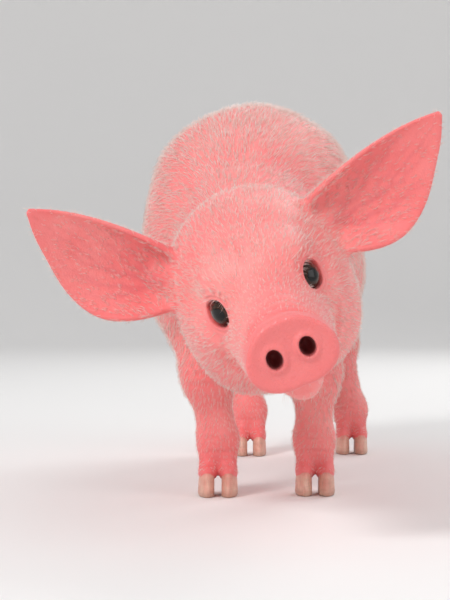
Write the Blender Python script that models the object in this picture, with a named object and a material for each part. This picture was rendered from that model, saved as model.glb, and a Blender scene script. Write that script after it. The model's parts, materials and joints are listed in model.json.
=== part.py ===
"""A life-size piglet of about five weeks that stands with its head low and tilted towards the viewer.

Metres, +Z up. The piglet faces -Y and its own left side is +X. The flesh is one blended form, parted
by thin cuts into head, ears, neck, torso, tail and leg pieces; eyes and claws are solids of their own.
"""

import math

import bmesh
import bpy
import numpy as np
import openvdb
from mathutils import Matrix, Vector
from mathutils.bvhtree import BVHTree

FAR = 1.0


# Clear the scene

for leftover in list(bpy.data.objects):
    bpy.data.objects.remove(leftover)


# Distance functions: negative inside the flesh, positive outside

def length(q):
    return np.sqrt((q * q).sum(1))


def ball(p, centre, radii):
    """An ellipsoid lying along the axes of p."""
    q = p - np.array(centre, np.float32)
    r = np.array(radii, np.float32)
    near = length(q / r)
    return near * (near - 1) / np.maximum(length(q / (r * r)), 1e-6)


def rod(p, a, b, radius_a, radius_b):
    """A tapered limb with round ends from a to b."""
    a = np.array(a, np.float32)
    along = np.array(b, np.float32) - a
    t = np.clip((p - a) @ along / (along @ along), 0, 1)
    return length(p - a - t[:, None] * along) - (radius_a + (radius_b - radius_a) * t)


def flow(x, knots, values):
    """A smooth curve through the values at the knots, which rise."""
    knots, values = np.array(knots, np.float32), np.array(values, np.float32)
    slope = np.gradient(values, knots)
    x = np.clip(x, knots[0], knots[-1])
    i = np.clip(np.searchsorted(knots, x) - 1, 0, len(knots) - 2)
    width = knots[i + 1] - knots[i]
    t = (x - knots[i]) / width
    return (
        values[i] * (1 + 2 * t) * (1 - t) ** 2
        + values[i + 1] * t * t * (3 - 2 * t)
        + width * (slope[i] * t * (1 - t) ** 2 - slope[i + 1] * t * t * (1 - t))
    )


def barrel(p, stations, fullness):
    """A lofted form along Y. Each station is (y, top, bottom, half width)."""
    y, top, bottom, half = zip(*stations)
    high, low = flow(p[:, 1], y, top), flow(p[:, 1], y, bottom)
    wide, tall = np.maximum(flow(p[:, 1], y, half), 0.002), np.maximum((high - low) / 2, 0.002)
    u, v = np.abs(p[:, 0]) / wide, np.abs(p[:, 2] - (high + low) / 2) / tall
    section = ((u**fullness + v**fullness) ** (1 / fullness) - 1) * np.minimum(wide, tall)
    beyond = np.maximum(np.maximum(y[0] - p[:, 1], p[:, 1] - y[-1]), 0)
    return np.where(beyond > 0, np.hypot(np.maximum(section, 0), beyond), section)


def join(a, b, soft):
    """The union of two forms with a fillet of about the given size."""
    h = np.maximum(soft - np.abs(a - b), 0) / soft
    return np.minimum(a, b) - h * h * soft / 4


def carve(a, b, soft):
    """Form a with form b taken out of it, its edge rounded."""
    return -join(-a, b, soft)


def nearby(p, low, high, reach, distance):
    """The distance worked out only for the points near a box, as a far form changes nothing."""
    d = np.full(len(p), FAR, np.float32)
    close = ((p > np.array(low) - reach) & (p < np.array(high) + reach)).all(1)
    if close.any():
        d[close] = distance(p[close])
    return d


# Where the body, head and feet are

BODY_YAW = math.radians(4.5)
BODY = Matrix.Translation((-0.0115, 0, 0)) @ Matrix.Rotation(-BODY_YAW, 4, "Z")

HEAD_YAW, HEAD_PITCH, HEAD_ROLL = math.radians(6), math.radians(16), math.radians(-24)
HEAD = (
    Matrix.Translation((-0.0105, -0.094, 0.157))
    @ Matrix.Rotation(HEAD_YAW, 4, "Z")
    @ Matrix.Rotation(HEAD_PITCH, 4, "X")
    @ Matrix.Rotation(HEAD_ROLL, 4, "Y")
)

LEFT, RIGHT = 1, -1
SIDES = (LEFT, RIGHT)
FRONT_FEET = {RIGHT: Vector((-0.035, 0.000, 0)), LEFT: Vector((0.034, 0.006, 0))}
HIND_FEET = {RIGHT: Vector((-0.008, 0.262, 0)), LEFT: Vector((0.082, 0.276, 0))}


def into(p, frame):
    """The points as the frame sees them."""
    m = np.array(frame.inverted(), np.float32)
    return p @ m[:3, :3].T + m[:3, 3]


# Torso

TORSO_STATIONS = (
    # y, top, bottom, half width
    (-0.070, 0.198, 0.168, 0.012),
    (-0.055, 0.222, 0.146, 0.034),
    (-0.025, 0.248, 0.130, 0.049),
    (0.025, 0.269, 0.118, 0.057),
    (0.085, 0.282, 0.112, 0.0605),
    (0.150, 0.292, 0.109, 0.0625),
    (0.215, 0.294, 0.117, 0.0610),
    (0.270, 0.286, 0.139, 0.0565),
    (0.313, 0.267, 0.168, 0.049),
    (0.338, 0.243, 0.197, 0.030),
    (0.347, 0.228, 0.212, 0.008),
)
TORSO_FULLNESS = 2.0


def torso(p):
    q = into(p, BODY)
    d = barrel(q, TORSO_STATIONS, TORSO_FULLNESS)
    for side in SIDES:
        d = join(d, ball(q, (side * 0.041, 0.018, 0.192), (0.027, 0.048, 0.056)), 0.028)
        d = join(d, ball(q, (side * 0.042, 0.008, 0.160), (0.028, 0.040, 0.034)), 0.028)
        d = join(d, ball(q, (side * 0.035, 0.262, 0.198), (0.035, 0.064, 0.062)), 0.028)
        d = join(d, ball(q, (side * 0.036, 0.294, 0.176), (0.031, 0.044, 0.054)), 0.026)
        d = join(d, ball(q, (side * 0.042, 0.234, 0.164), (0.028, 0.044, 0.046)), 0.026)
    return d


def neck(p):
    q = into(p, BODY)
    nape = BODY.inverted() @ (HEAD @ Vector((0, 0.004, 0.006)))
    throat = BODY.inverted() @ (HEAD @ Vector((0, -0.016, -0.018)))
    d = rod(q, (0, 0.020, 0.208), nape, 0.058, 0.048)
    return join(d, rod(q, (0, -0.005, 0.172), throat, 0.048, 0.042), 0.03)


def tail(p):
    q = into(p, BODY)
    d = rod(q, (0, 0.318, 0.240), TAIL_CURVE[0], 0.016, TAIL_RADII[0])
    for a, b, ra, rb in zip(TAIL_CURVE, TAIL_CURVE[1:], TAIL_RADII, TAIL_RADII[1:]):
        d = join(d, rod(q, a, b, ra, rb), 0.001)
    return d


TAIL_ROOT = Vector((0, 0.344, 0.248))
TAIL_REACH, TAIL_CURL_RADIUS, TAIL_TURNS, TAIL_DROOP = 0.050, 0.0135, 1.35, 0.030
TAIL_STEPS = 26


def tail_point(s):
    """A corkscrew that opens from the root and sinks towards the tip; s runs from 0 to 1."""
    turn = 2 * math.pi * TAIL_TURNS * s
    open_by = TAIL_CURL_RADIUS * min(1, s / 0.35) ** 1.5
    swing = Vector((open_by * math.sin(turn), TAIL_REACH * s, -open_by * (1 - math.cos(turn))))
    return TAIL_ROOT + swing + Vector((0, 0, 0.004 * math.sin(math.pi * s) - TAIL_DROOP * s * s))


TAIL_CURVE = [tail_point(i / TAIL_STEPS) for i in range(TAIL_STEPS + 1)]
TAIL_RADII = [0.0074 - 0.0048 * (i / TAIL_STEPS) ** 0.8 for i in range(TAIL_STEPS + 1)]


# Legs

def front_elbow(side):
    return BODY @ Vector((side * 0.043, 0.018, 0.148))


def front_knee(side):
    knee = FRONT_FEET[side].lerp(front_elbow(side), 0.42) + Vector((0, -0.005, 0))
    knee.z = 0.086
    return knee


def hind_stifle(side):
    return BODY @ Vector((side * 0.044, 0.240, 0.158))


def hind_hock(side):
    hock = HIND_FEET[side].lerp(hind_stifle(side), 0.42)
    hock.y, hock.z = HIND_FEET[side].y + 0.030, 0.098
    return hock


def front_leg(p, side):
    foot, elbow, knee = FRONT_FEET[side], front_elbow(side), front_knee(side)
    fetlock = foot + Vector((0, FETLOCK_BACK["front"], FETLOCK_HEIGHT))
    d = rod(p, elbow, knee, 0.0295, 0.0170)
    d = join(d, ball(p, knee, (0.0158, 0.0166, 0.0190)), 0.012)
    d = join(d, rod(p, knee, fetlock, 0.0148, 0.0132), 0.012)
    return join(d, foot_flesh(p, foot, fetlock), 0.008)


def hind_leg(p, side):
    foot, stifle, hock = HIND_FEET[side], hind_stifle(side), hind_hock(side)
    buttock = BODY @ Vector((side * 0.038, 0.296, 0.170))
    fetlock = foot + Vector((0, FETLOCK_BACK["hind"], FETLOCK_HEIGHT))
    d = rod(p, stifle, hock, 0.0350, 0.0165)
    d = join(d, rod(p, buttock, hock, 0.0270, 0.0145), 0.020)
    d = join(d, ball(p, hock + Vector((0, 0.004, 0.003)), (0.0146, 0.0142, 0.0190)), 0.014)
    d = join(d, rod(p, hock, fetlock, 0.0148, 0.0132), 0.014)
    return join(d, foot_flesh(p, foot, fetlock), 0.008)


FETLOCK_HEIGHT = 0.038
FETLOCK_BACK = {"front": 0.008, "hind": 0.011}
CLAW_SPREAD, CLAW_LENGTH, CLAW_WIDTH = 0.0074, 0.0280, 0.0142
CORONET_FRONT, CORONET_BACK = 0.0175, 0.0105
CORONET_SLOPE = (CORONET_BACK - CORONET_FRONT) / CLAW_LENGTH
DEW_LENGTH, DEW_RADIUS = 0.0085, 0.0037


def dew_root(side):
    """Where a dewclaw's horn starts, from the fetlock."""
    return Vector((side * 0.0095, 0.0125, -0.0080))


def dew_way(side):
    return Vector((side * 0.20, 0.46, -0.86)).normalized()


def foot_flesh(p, foot, fetlock):
    d = ball(p, fetlock, (0.0146, 0.0150, 0.0140))
    for side in SIDES:
        top = fetlock + Vector((side * 0.0050, -0.004, -0.006))
        toe = foot + Vector((side * CLAW_SPREAD, -0.002, 0.014))
        d = join(d, rod(p, top, toe, 0.0092, 0.0064), 0.004)
        d = join(d, ball(p, toe, (0.0068, 0.0124, 0.0100)), 0.003)
        root = fetlock + dew_root(side)
        d = join(d, rod(p, fetlock + Vector((side * 0.006, 0.004, 0.002)), root, 0.0075, DEW_RADIUS + 0.0008), 0.004)
    return d


# Head

HEAD_STATIONS = (
    # y, top, bottom, half width
    (-0.156, 0.0180, -0.0210, 0.0220),
    (-0.142, 0.0195, -0.0270, 0.0232),
    (-0.122, 0.0222, -0.0325, 0.0240),
    (-0.101, 0.0280, -0.0390, 0.0262),
    (-0.080, 0.0385, -0.0455, 0.0312),
    (-0.056, 0.0480, -0.0505, 0.0410),
    (-0.028, 0.0515, -0.0500, 0.0480),
    (0.000, 0.0455, -0.0440, 0.0430),
    (0.018, 0.0240, -0.0220, 0.0200),
)
HEAD_FULLNESS = 2.1


def head(p):
    q = into(p, HEAD)
    d = barrel(q, HEAD_STATIONS, HEAD_FULLNESS)
    jaw = rod(q, (0, -0.055, -0.035), (0, -0.136, -0.0285), 0.025, 0.0120)
    d = join(d, jaw, 0.010)
    for side in SIDES:
        d = join(d, ball(q, (side * 0.025, -0.036, -0.029), (0.027, 0.038, 0.030)), 0.022)
        d = join(d, ball(q, (side * 0.034, -0.050, -0.006), (0.012, 0.026, 0.014)), 0.018)
        d = join(d, ball(q, (side * 0.020, -0.070, 0.026), (0.013, 0.016, 0.009)), 0.016)
        lip = rod(q, (side * 0.014, -0.094, -0.012), (side * 0.0125, -0.144, -0.0085), 0.0165, 0.0135)
        d = join(d, lip, 0.012)
    d = lips(d, q)
    d = join(d, snout_disc(q), 0.005)
    for side in SIDES:
        d = eyelids(d, q, side)
        d = nostril(d, q, side)
    return d


# Where the lips meet, along the muzzle from its front to the corner and on down behind the jaw
MOUTH_Y = (-0.175, -0.150, -0.134, -0.116, -0.100, -0.088)
MOUTH_Z = (-0.0240, -0.0243, -0.0270, -0.0266, -0.0240, -0.0205)
LIP_GROOVE_HALF, LIP_GROOVE_DEPTH = 0.0016, 0.0014


def lips(d, q):
    """A soft groove where the upper lip meets the lower one."""
    off = np.abs(q[:, 2] - flow(q[:, 1], MOUTH_Y, MOUTH_Z)) / LIP_GROOVE_HALF
    fade = np.clip((-0.084 - q[:, 1]) / 0.008, 0, 1)
    return d + LIP_GROOVE_DEPTH * fade * np.exp(-off * off) * (np.abs(d) < 0.01)


DISC_AT = (0, -0.159, -0.0005)
DISC_TILT = math.radians(-7)
DISC_HALF_WIDTH, DISC_HALF_HEIGHT, DISC_HALF_DEPTH, DISC_EDGE = 0.0276, 0.0218, 0.0052, 0.0034
DISC = Matrix.Translation(DISC_AT) @ Matrix.Rotation(DISC_TILT, 4, "X")


def snout_disc(q):
    s = into(q, DISC)
    dip = 0.0022 * np.exp(-((s[:, 0] / 0.007) ** 2)) * (s[:, 2] > 0)
    reach = np.hypot(s[:, 0] / DISC_HALF_WIDTH, (s[:, 2] + 0.15 * np.abs(s[:, 0])) / DISC_HALF_HEIGHT)
    radial = (reach - 1) * DISC_HALF_HEIGHT + dip + DISC_EDGE
    hollow = 0.0016 * np.exp(-((reach / 0.75) ** 4))
    deep = np.abs(s[:, 1] - hollow) - DISC_HALF_DEPTH + DISC_EDGE
    outside = np.hypot(np.maximum(radial, 0), np.maximum(deep, 0))
    return outside + np.minimum(np.maximum(radial, deep), 0) - DISC_EDGE


NOSTRIL_AT = (0.0098, -0.0045, -0.0010)
NOSTRIL_HALF_WIDTH, NOSTRIL_HALF_HEIGHT, NOSTRIL_DEPTH = 0.0040, 0.0052, 0.0120


def nostril(d, q, side):
    """A raised rim with a tapering hole through the disc."""
    s = into(q, DISC)
    x, y, z = NOSTRIL_AT
    rim = ball(s, (side * x, y + 0.001, z), (NOSTRIL_HALF_WIDTH + 0.0032, 0.0030, NOSTRIL_HALF_HEIGHT + 0.0032))
    hole = ball(s, (side * x, y, z), (NOSTRIL_HALF_WIDTH, NOSTRIL_DEPTH, NOSTRIL_HALF_HEIGHT))
    return carve(join(d, rim, 0.003), hole, 0.0016)


EYE_AT = (0.0232, -0.0755, 0.0085)
EYE_GAZE = (0.64, -0.75, 0.15)
EYE_RADIUS = 0.0110
LID_THICKNESS = 0.0016
EYE_COVER = 0.0008
LID_HALF_LENGTH, LID_HALF_OPENING = 0.0106, 0.0086


def eye_frame(side):
    """The eye's own frame in the head's: X along the slit to its front corner, Y up, Z the way it looks."""
    x, y, z = EYE_AT
    out = Vector((side * EYE_GAZE[0], EYE_GAZE[1], EYE_GAZE[2])).normalized()
    front = Vector((side * -0.35, -1, -0.30))
    front = (front - out * front.dot(out)).normalized()
    up = out.cross(front)
    if up.z < 0:
        up = -up
    turn = Matrix((front, up, out)).transposed().to_4x4()
    return Matrix.Translation((side * x, y, z)) @ turn


def eyelids(d, q, side):
    """Two lids that wrap the globe, parted by a slit, over a socket that holds it."""
    e = into(q, eye_frame(side))
    globe = length(e) - EYE_RADIUS
    d = join(d, globe - LID_THICKNESS, 0.007)
    opening = LID_HALF_OPENING * np.maximum(1 - ((e[:, 0] + 0.0008) / LID_HALF_LENGTH) ** 2, 0) ** 0.7
    over_globe = np.maximum(-globe - EYE_COVER, -e[:, 2])
    slit = np.maximum(np.abs(e[:, 1]) - opening, np.abs(e[:, 0] + 0.0008) - LID_HALF_LENGTH)
    slit = np.maximum(slit, over_globe)
    return carve(d, slit, 0.0012)


# Ears

EAR_LENGTH = 0.115
EAR_SINK = 0.008
EAR_UPPER, EAR_LOWER = 0.0230, 0.0395
EAR_ALONG = {LEFT: Vector((0.68, -0.20, 0.60)), RIGHT: Vector((-0.88, -0.22, 0.40))}
EAR_FACE = {LEFT: Vector((0.10, -0.92, -0.20)), RIGHT: Vector((-0.05, -0.92, -0.25))}
EAR_ROWS, EAR_COLUMNS = 61, 65


def ear_frame(side):
    """The ear's own frame: X out to the tip, Y across to the lower edge, Z the way the cup faces."""
    along = EAR_ALONG[side].normalized()
    across = EAR_FACE[side].cross(along).normalized()
    if across.z > 0:
        across = -across
    face = along.cross(across)
    if face.y > 0:
        face = -face
    turn = Matrix((along, across, face)).transposed().to_4x4()
    root = HEAD @ Vector((side * 0.043, -0.014, 0.020)) - EAR_SINK * along
    return Matrix.Translation(root) @ turn


def ear_row(t):
    """One row of points across the ear's middle sheet, curled into a cup and rolled at its upper edge."""
    upper = EAR_UPPER * flow(np.array([t]), (0, 0.15, 0.4, 0.7, 0.88, 1), (0.50, 0.88, 1.0, 0.70, 0.34, 0.03))[0]
    lower = EAR_LOWER * flow(np.array([t]), (0, 0.15, 0.35, 0.6, 0.8, 0.93, 1), (0.36, 0.76, 1.0, 0.85, 0.50, 0.23, 0.03))[0]
    bend = flow(np.array([t]), (0, 0.2, 0.5, 1), (62, 34, 15, 9))[0]
    a = np.linspace(-upper, lower, EAR_COLUMNS)
    rim = min(0.010, 0.45 * upper)
    rolled = np.clip((-a - upper + rim) / rim, 0, 1)
    turn = bend * a - 1.25 * math.sin(math.pi * min(1, 0.25 + 0.75 * t)) * rolled**1.5
    step = a[1] - a[0]
    across = np.cumsum(np.cos(turn)) * step
    out = np.cumsum(np.sin(turn)) * step
    across, out = across - np.interp(0, a, across), out - np.interp(0, a, out)
    back = 0.020 * t * t - 0.010 * t
    return np.stack((np.full(EAR_COLUMNS, EAR_LENGTH * t), across + 0.006 * math.sin(math.pi * t), out + back), 1)


EAR_SHEET = np.concatenate([ear_row(i / (EAR_ROWS - 1)) for i in range(EAR_ROWS)])
EAR_FACES = [
    (i * EAR_COLUMNS + j, (i + 1) * EAR_COLUMNS + j, (i + 1) * EAR_COLUMNS + j + 1, i * EAR_COLUMNS + j + 1)
    for i in range(EAR_ROWS - 1) for j in range(EAR_COLUMNS - 1)
]
EAR_TREE = BVHTree.FromPolygons(EAR_SHEET.tolist(), EAR_FACES)
EAR_THICK_ROOT, EAR_THICK_TIP = 0.0026, 0.0013


def ear(p, side):
    """The ear's sheet with its thickness, and the fleshy knob that it grows from."""
    q = into(p, ear_frame(side))
    d = np.empty(len(q), np.float32)
    for i, point in enumerate(q):
        near, normal, face, away = EAR_TREE.find_nearest(point)
        thick = EAR_THICK_TIP + (EAR_THICK_ROOT - EAR_THICK_TIP) * (1 - near.x / EAR_LENGTH) ** 2
        d[i] = away - thick
    return join(d, rod(q, (-0.004, 0.004, -0.004), (0.018, 0.004, -0.002), 0.016, 0.008), 0.010)


def ear_reach(side):
    corners = [ear_frame(side) @ Vector(point) for point in EAR_SHEET[::8]]
    return [min(c[i] for c in corners) for i in range(3)], [max(c[i] for c in corners) for i in range(3)]


# The whole flesh

def flesh(p):
    d = nearby(p, (-0.10, -0.09, 0.09), (0.09, 0.37, 0.31), 0.05, torso)
    d = join(d, nearby(p, (-0.10, -0.17, 0.06), (0.09, 0.08, 0.29), 0.04, neck), 0.040)
    d = join(d, nearby(p, (-0.09, -0.27, 0.05), (0.09, 0.0, 0.24), 0.03, head), 0.028)
    d = join(d, nearby(p, (-0.04, 0.31, 0.18), (0.06, 0.42, 0.30), 0.02, tail), 0.010)
    for side in SIDES:
        d = join(d, nearby(p, (-0.10, -0.05, 0.0), (0.09, 0.07, 0.19), 0.03, lambda q: front_leg(q, side)), 0.022)
        d = join(d, nearby(p, (-0.08, 0.18, 0.0), (0.13, 0.36, 0.22), 0.03, lambda q: hind_leg(q, side)), 0.022)
        low, high = ear_reach(side)
        d = join(d, nearby(p, low, high, 0.015, lambda q: ear(q, side)), 0.008)
    return d


LOW, HIGH = np.array((-0.20, -0.28, 0.0)), np.array((0.16, 0.42, 0.32))
BLOCK = 8


def field_grid(step):
    """The flesh's distances on a grid, worked out finely only in blocks that its surface may cross."""
    size = step * BLOCK
    counts = np.ceil((HIGH - LOW) / size).astype(int)
    dense = np.full(counts * BLOCK, FAR, np.float32)
    cells = np.stack(np.meshgrid(*[np.arange(n) for n in counts], indexing="ij"), -1).reshape(-1, 3)
    coarse = flesh((LOW + (cells + 0.5) * size).astype(np.float32))
    for i, j, k in cells[coarse < 0] * BLOCK:
        dense[i:i + BLOCK, j:j + BLOCK, k:k + BLOCK] = -FAR
    crossed = cells[np.abs(coarse) < size * 1.6]
    inner = np.stack(np.meshgrid(*[np.arange(BLOCK)] * 3, indexing="ij"), -1).reshape(-1, 3)
    for some in np.array_split(crossed, len(crossed) // 400 + 1):
        index = (some[:, None] * BLOCK + inner[None]).reshape(-1, 3)
        dense[index[:, 0], index[:, 1], index[:, 2]] = flesh((LOW + index * step).astype(np.float32))
    return dense


def flesh_mesh(step):
    """The surface where the flesh's distance is nought, as a closed mesh of quads."""
    grid = openvdb.FloatGrid(FAR)
    grid.transform = openvdb.createLinearTransform(voxelSize=step)
    grid.copyFromArray(np.clip(field_grid(step), -4 * step, 4 * step))
    points, quads = grid.convertToQuads(isovalue=0.0)
    mesh = bpy.data.meshes.new("flesh")
    mesh.from_pydata(points + LOW, [], quads[:, ::-1])
    mesh.validate()
    return mesh


# Building

FLESH_STEP = 0.0015
FLESH_TRIANGLES = 10400
GAP = 0.0003

model = bpy.data.collections.new("piglet")
cutters = bpy.data.collections.new("cutters")
for collection in (model, cutters):
    bpy.context.scene.collection.children.link(collection)

SKIN = (1.0, 0.275, 0.285)
HORN = (0.62, 0.30, 0.26)
EYE_DARK = (0.012, 0.008, 0.007)


def material(name, colour, roughness):
    made = bpy.data.materials.new(name)
    made.use_nodes = True
    shader = made.node_tree.nodes["Principled BSDF"]
    shader.inputs["Base Color"].default_value = (*colour, 1)
    shader.inputs["Roughness"].default_value = roughness
    made.diffuse_color = (*colour, 1)
    return made


def shaped(name, collection, build):
    """An object made from the form that the build function fills."""
    form = bmesh.new()
    build(form)
    mesh = bpy.data.meshes.new(name)
    form.to_mesh(mesh)
    form.free()
    thing = bpy.data.objects.new(name, mesh)
    collection.objects.link(thing)
    if collection == cutters:
        thing.hide_render = True
        thing.display_type = "WIRE"
    return thing


def box(place, size):
    """A box that takes flesh away, centred on a frame."""
    where = place @ Matrix.Diagonal((*size, 1))
    return shaped("cut", cutters, lambda form: bmesh.ops.create_cube(form, size=1, matrix=where))


def slab(at, u, v, half_u, half_v):
    """A box as thin as the gap between two pieces, spread round a point along the directions u and v."""
    u = u.normalized()
    n = u.cross(v).normalized()
    v = n.cross(u)
    return box(Matrix.Translation(at) @ Matrix((u, v, n)).transposed().to_4x4(), (2 * half_u, 2 * half_v, GAP))


def globe(name, collection, side, radius):
    def build(form):
        bmesh.ops.create_uvsphere(form, u_segments=20, v_segments=12, radius=radius, matrix=HEAD @ eye_frame(side))
        bmesh.ops.recalc_face_normals(form, faces=form.faces)
    return shaped(name, collection, build)


def sheet(name, profile, half_width, frame):
    """A closed sheet as thin as a gap, that follows a profile of (y, z) points from side to side."""
    def build(form):
        rows = []
        for i, (y, z) in enumerate(profile):
            before, after = profile[max(i - 1, 0)], profile[min(i + 1, len(profile) - 1)]
            way = Vector((after[0] - before[0], after[1] - before[1])).normalized()
            off = Vector((-way.y, way.x)) * GAP / 2
            corners = ((-1, 1), (1, 1), (1, -1), (-1, -1))
            rows.append([form.verts.new(frame @ Vector((sx * half_width, y + s * off.x, z + s * off.y)))
                         for sx, s in corners])
        for low, high in zip(rows, rows[1:]):
            for k in range(4):
                form.faces.new((low[k], low[(k + 1) % 4], high[(k + 1) % 4], high[k]))
        form.faces.new(rows[0][::-1])
        form.faces.new(rows[-1])
        bmesh.ops.recalc_face_normals(form, faces=form.faces)
    return shaped(name, cutters, build)


X, Y, Z = Vector((1, 0, 0)), Vector((0, 1, 0)), Vector((0, 0, 1))
JAW_HINGE = ((-0.074, -0.034), (-0.062, -0.075))


def cut_joints():
    """The thin cuts that part the flesh, each across one joint of the body."""
    for side in SIDES:
        frame = ear_frame(side)
        slab(frame @ Vector((0.022, 0.004, 0.014)), frame.col[1].to_3d(), frame.col[2].to_3d(), 0.040, 0.034)
        slab(BODY @ Vector((side * 0.043, 0.012, 0.117)), Vector((side * 0.84, 0, 0.54)), Y, 0.052, 0.052)
        slab(BODY @ Vector((side * 0.044, 0.262, 0.142)), Vector((side * 0.87, 0, 0.50)),
             Vector((0, 0.966, 0.259)), 0.056, 0.090)
        slab(front_knee(side), X, Y, 0.026, 0.030)
        slab(hind_hock(side), X, Y, 0.026, 0.034)
    across, along, up = (HEAD.col[i].to_3d() for i in range(3))
    slab(HEAD @ Vector((0, 0.012, -0.004)), across, up, 0.078, 0.078)
    slab((HEAD @ DISC) @ Vector((0, 0.0075, 0)), across, up, 0.034, 0.030)
    slab(BODY @ Vector((0, -0.038, 0.190)), X, Vector((0, 0.15, 0.99)), 0.085, 0.095)
    slab(BODY @ (TAIL_ROOT + Vector((0, 0.006, -0.001))), X, Vector((0, 0.2, 1)), 0.017, 0.017)
    mouth = [(y, z) for y, z in zip(MOUTH_Y, MOUTH_Z)] + list(JAW_HINGE)
    sheet("mouth", mouth, 0.070, HEAD)


def coronet(y):
    """The height of a claw's upper edge at a distance behind the foot's middle."""
    return CORONET_FRONT + CORONET_SLOPE * (y + 0.003 + CLAW_LENGTH / 2)


def cut_feet():
    """Room for the claws: the flesh ends a gap above the coronets and at the roots of the dewclaws."""
    for feet, kind in ((FRONT_FEET, "front"), (HIND_FEET, "hind")):
        for foot in feet.values():
            tilt = Matrix.Rotation(math.atan(CORONET_SLOPE), 4, "X")
            top = Matrix.Translation(foot + Vector((0, 0, coronet(0) + GAP))) @ tilt
            box(top @ Matrix.Translation((0, 0, -0.015)), (0.060, 0.050, 0.030))
            fetlock = foot + Vector((0, FETLOCK_BACK[kind], FETLOCK_HEIGHT))
            for side in SIDES:
                way = dew_way(side)
                turn = way.to_track_quat("Z", "Y").to_matrix().to_4x4()
                start = Matrix.Translation(fetlock + dew_root(side) + way * 0.001) @ turn
                box(start @ Matrix.Translation((0, 0, 0.005)), (0.013, 0.013, 0.010))


CLAW_POINTS = 14


def claw(name, foot, side):
    """One half of a cloven hoof: pointed at the toe, flat towards its neighbour, with a flat sole."""
    def ring(form, scale, lift, back):
        verts = []
        for i in range(CLAW_POINTS):
            turn = 2 * math.pi * i / CLAW_POINTS
            toeward = 0.5 + 0.5 * math.cos(turn)
            y = -math.cos(turn) * CLAW_LENGTH / 2 * scale + back
            x = math.sin(turn) * CLAW_WIDTH / 2 * scale * (1 - 0.34 * toeward**2)
            x = max(x, -0.68 * CLAW_WIDTH / 2)
            y -= 0.003
            z = lift(y)
            verts.append(form.verts.new(foot + Vector((side * (CLAW_SPREAD + x), y, z))))
        return verts

    def build(form):
        rings = [
            ring(form, 0.95, lambda y: 0, 0),
            ring(form, 1.00, lambda y: 0.0016, 0),
            ring(form, 0.985, lambda y: 0.0016 + 0.5 * (coronet(y) - 0.0016), 0.0008),
            ring(form, 0.94, lambda y: coronet(y), 0.0016),
        ]
        for low, high in zip(rings, rings[1:]):
            for i in range(CLAW_POINTS):
                j = (i + 1) % CLAW_POINTS
                form.faces.new((low[i], low[j], high[j], high[i]))
        form.faces.new(rings[0])
        form.faces.new(rings[-1])
        bmesh.ops.recalc_face_normals(form, faces=form.faces)

    return shaped(name, model, build)


def dewclaw(name, fetlock, side):
    """The small horn behind the fetlock, a blunt cone that meets the flesh across a gap."""
    way = dew_way(side)
    start = fetlock + dew_root(side) + way * (0.001 + GAP)
    turn = way.to_track_quat("Z", "Y").to_matrix().to_4x4()

    def build(form):
        rings = []
        for part, width in ((0, 1.0), (0.45, 0.95), (0.8, 0.66), (1, 0.30)):
            place = Matrix.Translation(start) @ turn @ Matrix.Translation((0, 0, part * (DEW_LENGTH - 0.002)))
            made = bmesh.ops.create_circle(form, segments=8, radius=DEW_RADIUS * width, matrix=place)
            rings.append(made["verts"])
        for low, high in zip(rings, rings[1:]):
            for i in range(8):
                j = (i + 1) % 8
                form.faces.new((low[i], low[j], high[j], high[i]))
        form.faces.new(rings[0])
        form.faces.new(rings[-1])
        bmesh.ops.recalc_face_normals(form, faces=form.faces)

    return shaped(name, model, build)


def after_modifiers(thing):
    """The object takes the mesh that its modifiers give, and loses them."""
    seen = thing.evaluated_get(bpy.context.evaluated_depsgraph_get())
    mesh = bpy.data.meshes.new_from_object(seen)
    thing.modifiers.clear()
    thing.data = mesh


SIDE_NAMES = {LEFT: "left", RIGHT: "right"}


def piece_seeds():
    """A point near the middle of each flesh piece, by the piece's name."""
    seeds = {
        "head": HEAD @ Vector((0, -0.040, 0.0)),
        "snout": HEAD @ DISC @ Vector((0, 0, 0)),
        "lower_jaw": HEAD @ Vector((0, -0.110, -0.035)),
        "neck": BODY @ Vector((0, -0.050, 0.180)),
        "torso": BODY @ Vector((0, 0.150, 0.200)),
        "tail": BODY @ tail_point(0.5),
    }
    for side in SIDES:
        name = SIDE_NAMES[side]
        seeds["ear_" + name] = ear_frame(side) @ Vector((0.55 * EAR_LENGTH, 0.006, 0.006))
        seeds["front_" + name + "_upper_leg"] = front_elbow(side).lerp(front_knee(side), 0.65)
        seeds["front_" + name + "_lower_leg"] = FRONT_FEET[side] + Z * 0.045
        seeds["hind_" + name + "_upper_leg"] = hind_stifle(side).lerp(hind_hock(side), 0.60)
        seeds["hind_" + name + "_lower_leg"] = HIND_FEET[side] + Z * 0.050
    return seeds


def part_flesh(whole):
    """The flesh with all cuts made, as one object for each piece; loose scraps are dropped."""
    cut = whole.modifiers.new("cut", "BOOLEAN")
    cut.operation = "DIFFERENCE"
    cut.operand_type = "COLLECTION"
    cut.collection = cutters
    after_modifiers(whole)
    bpy.context.view_layer.objects.active = whole
    whole.select_set(True)
    bpy.ops.object.mode_set(mode="EDIT")
    bpy.ops.mesh.select_all(action="SELECT")
    bpy.ops.mesh.separate(type="LOOSE")
    bpy.ops.object.mode_set(mode="OBJECT")
    scraps = [thing for thing in model.objects if thing.name.startswith("whole")]
    middles = {thing: sum((v.co for v in thing.data.vertices), Vector()) / len(thing.data.vertices) for thing in scraps}
    for thing in list(scraps):
        if len(thing.data.vertices) < 60:
            scraps.remove(thing)
            bpy.data.objects.remove(thing)
    for name, seed in piece_seeds().items():
        nearest = min(scraps, key=lambda thing: (middles[thing] - seed).length)
        nearest.name = name
        nearest.data.name = name
        scraps.remove(nearest)


# The middle of the whole animal's box over the floor, which becomes the part's origin
BOX_MIDDLE = Vector((-0.0240, 0.0703, 0))


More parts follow.
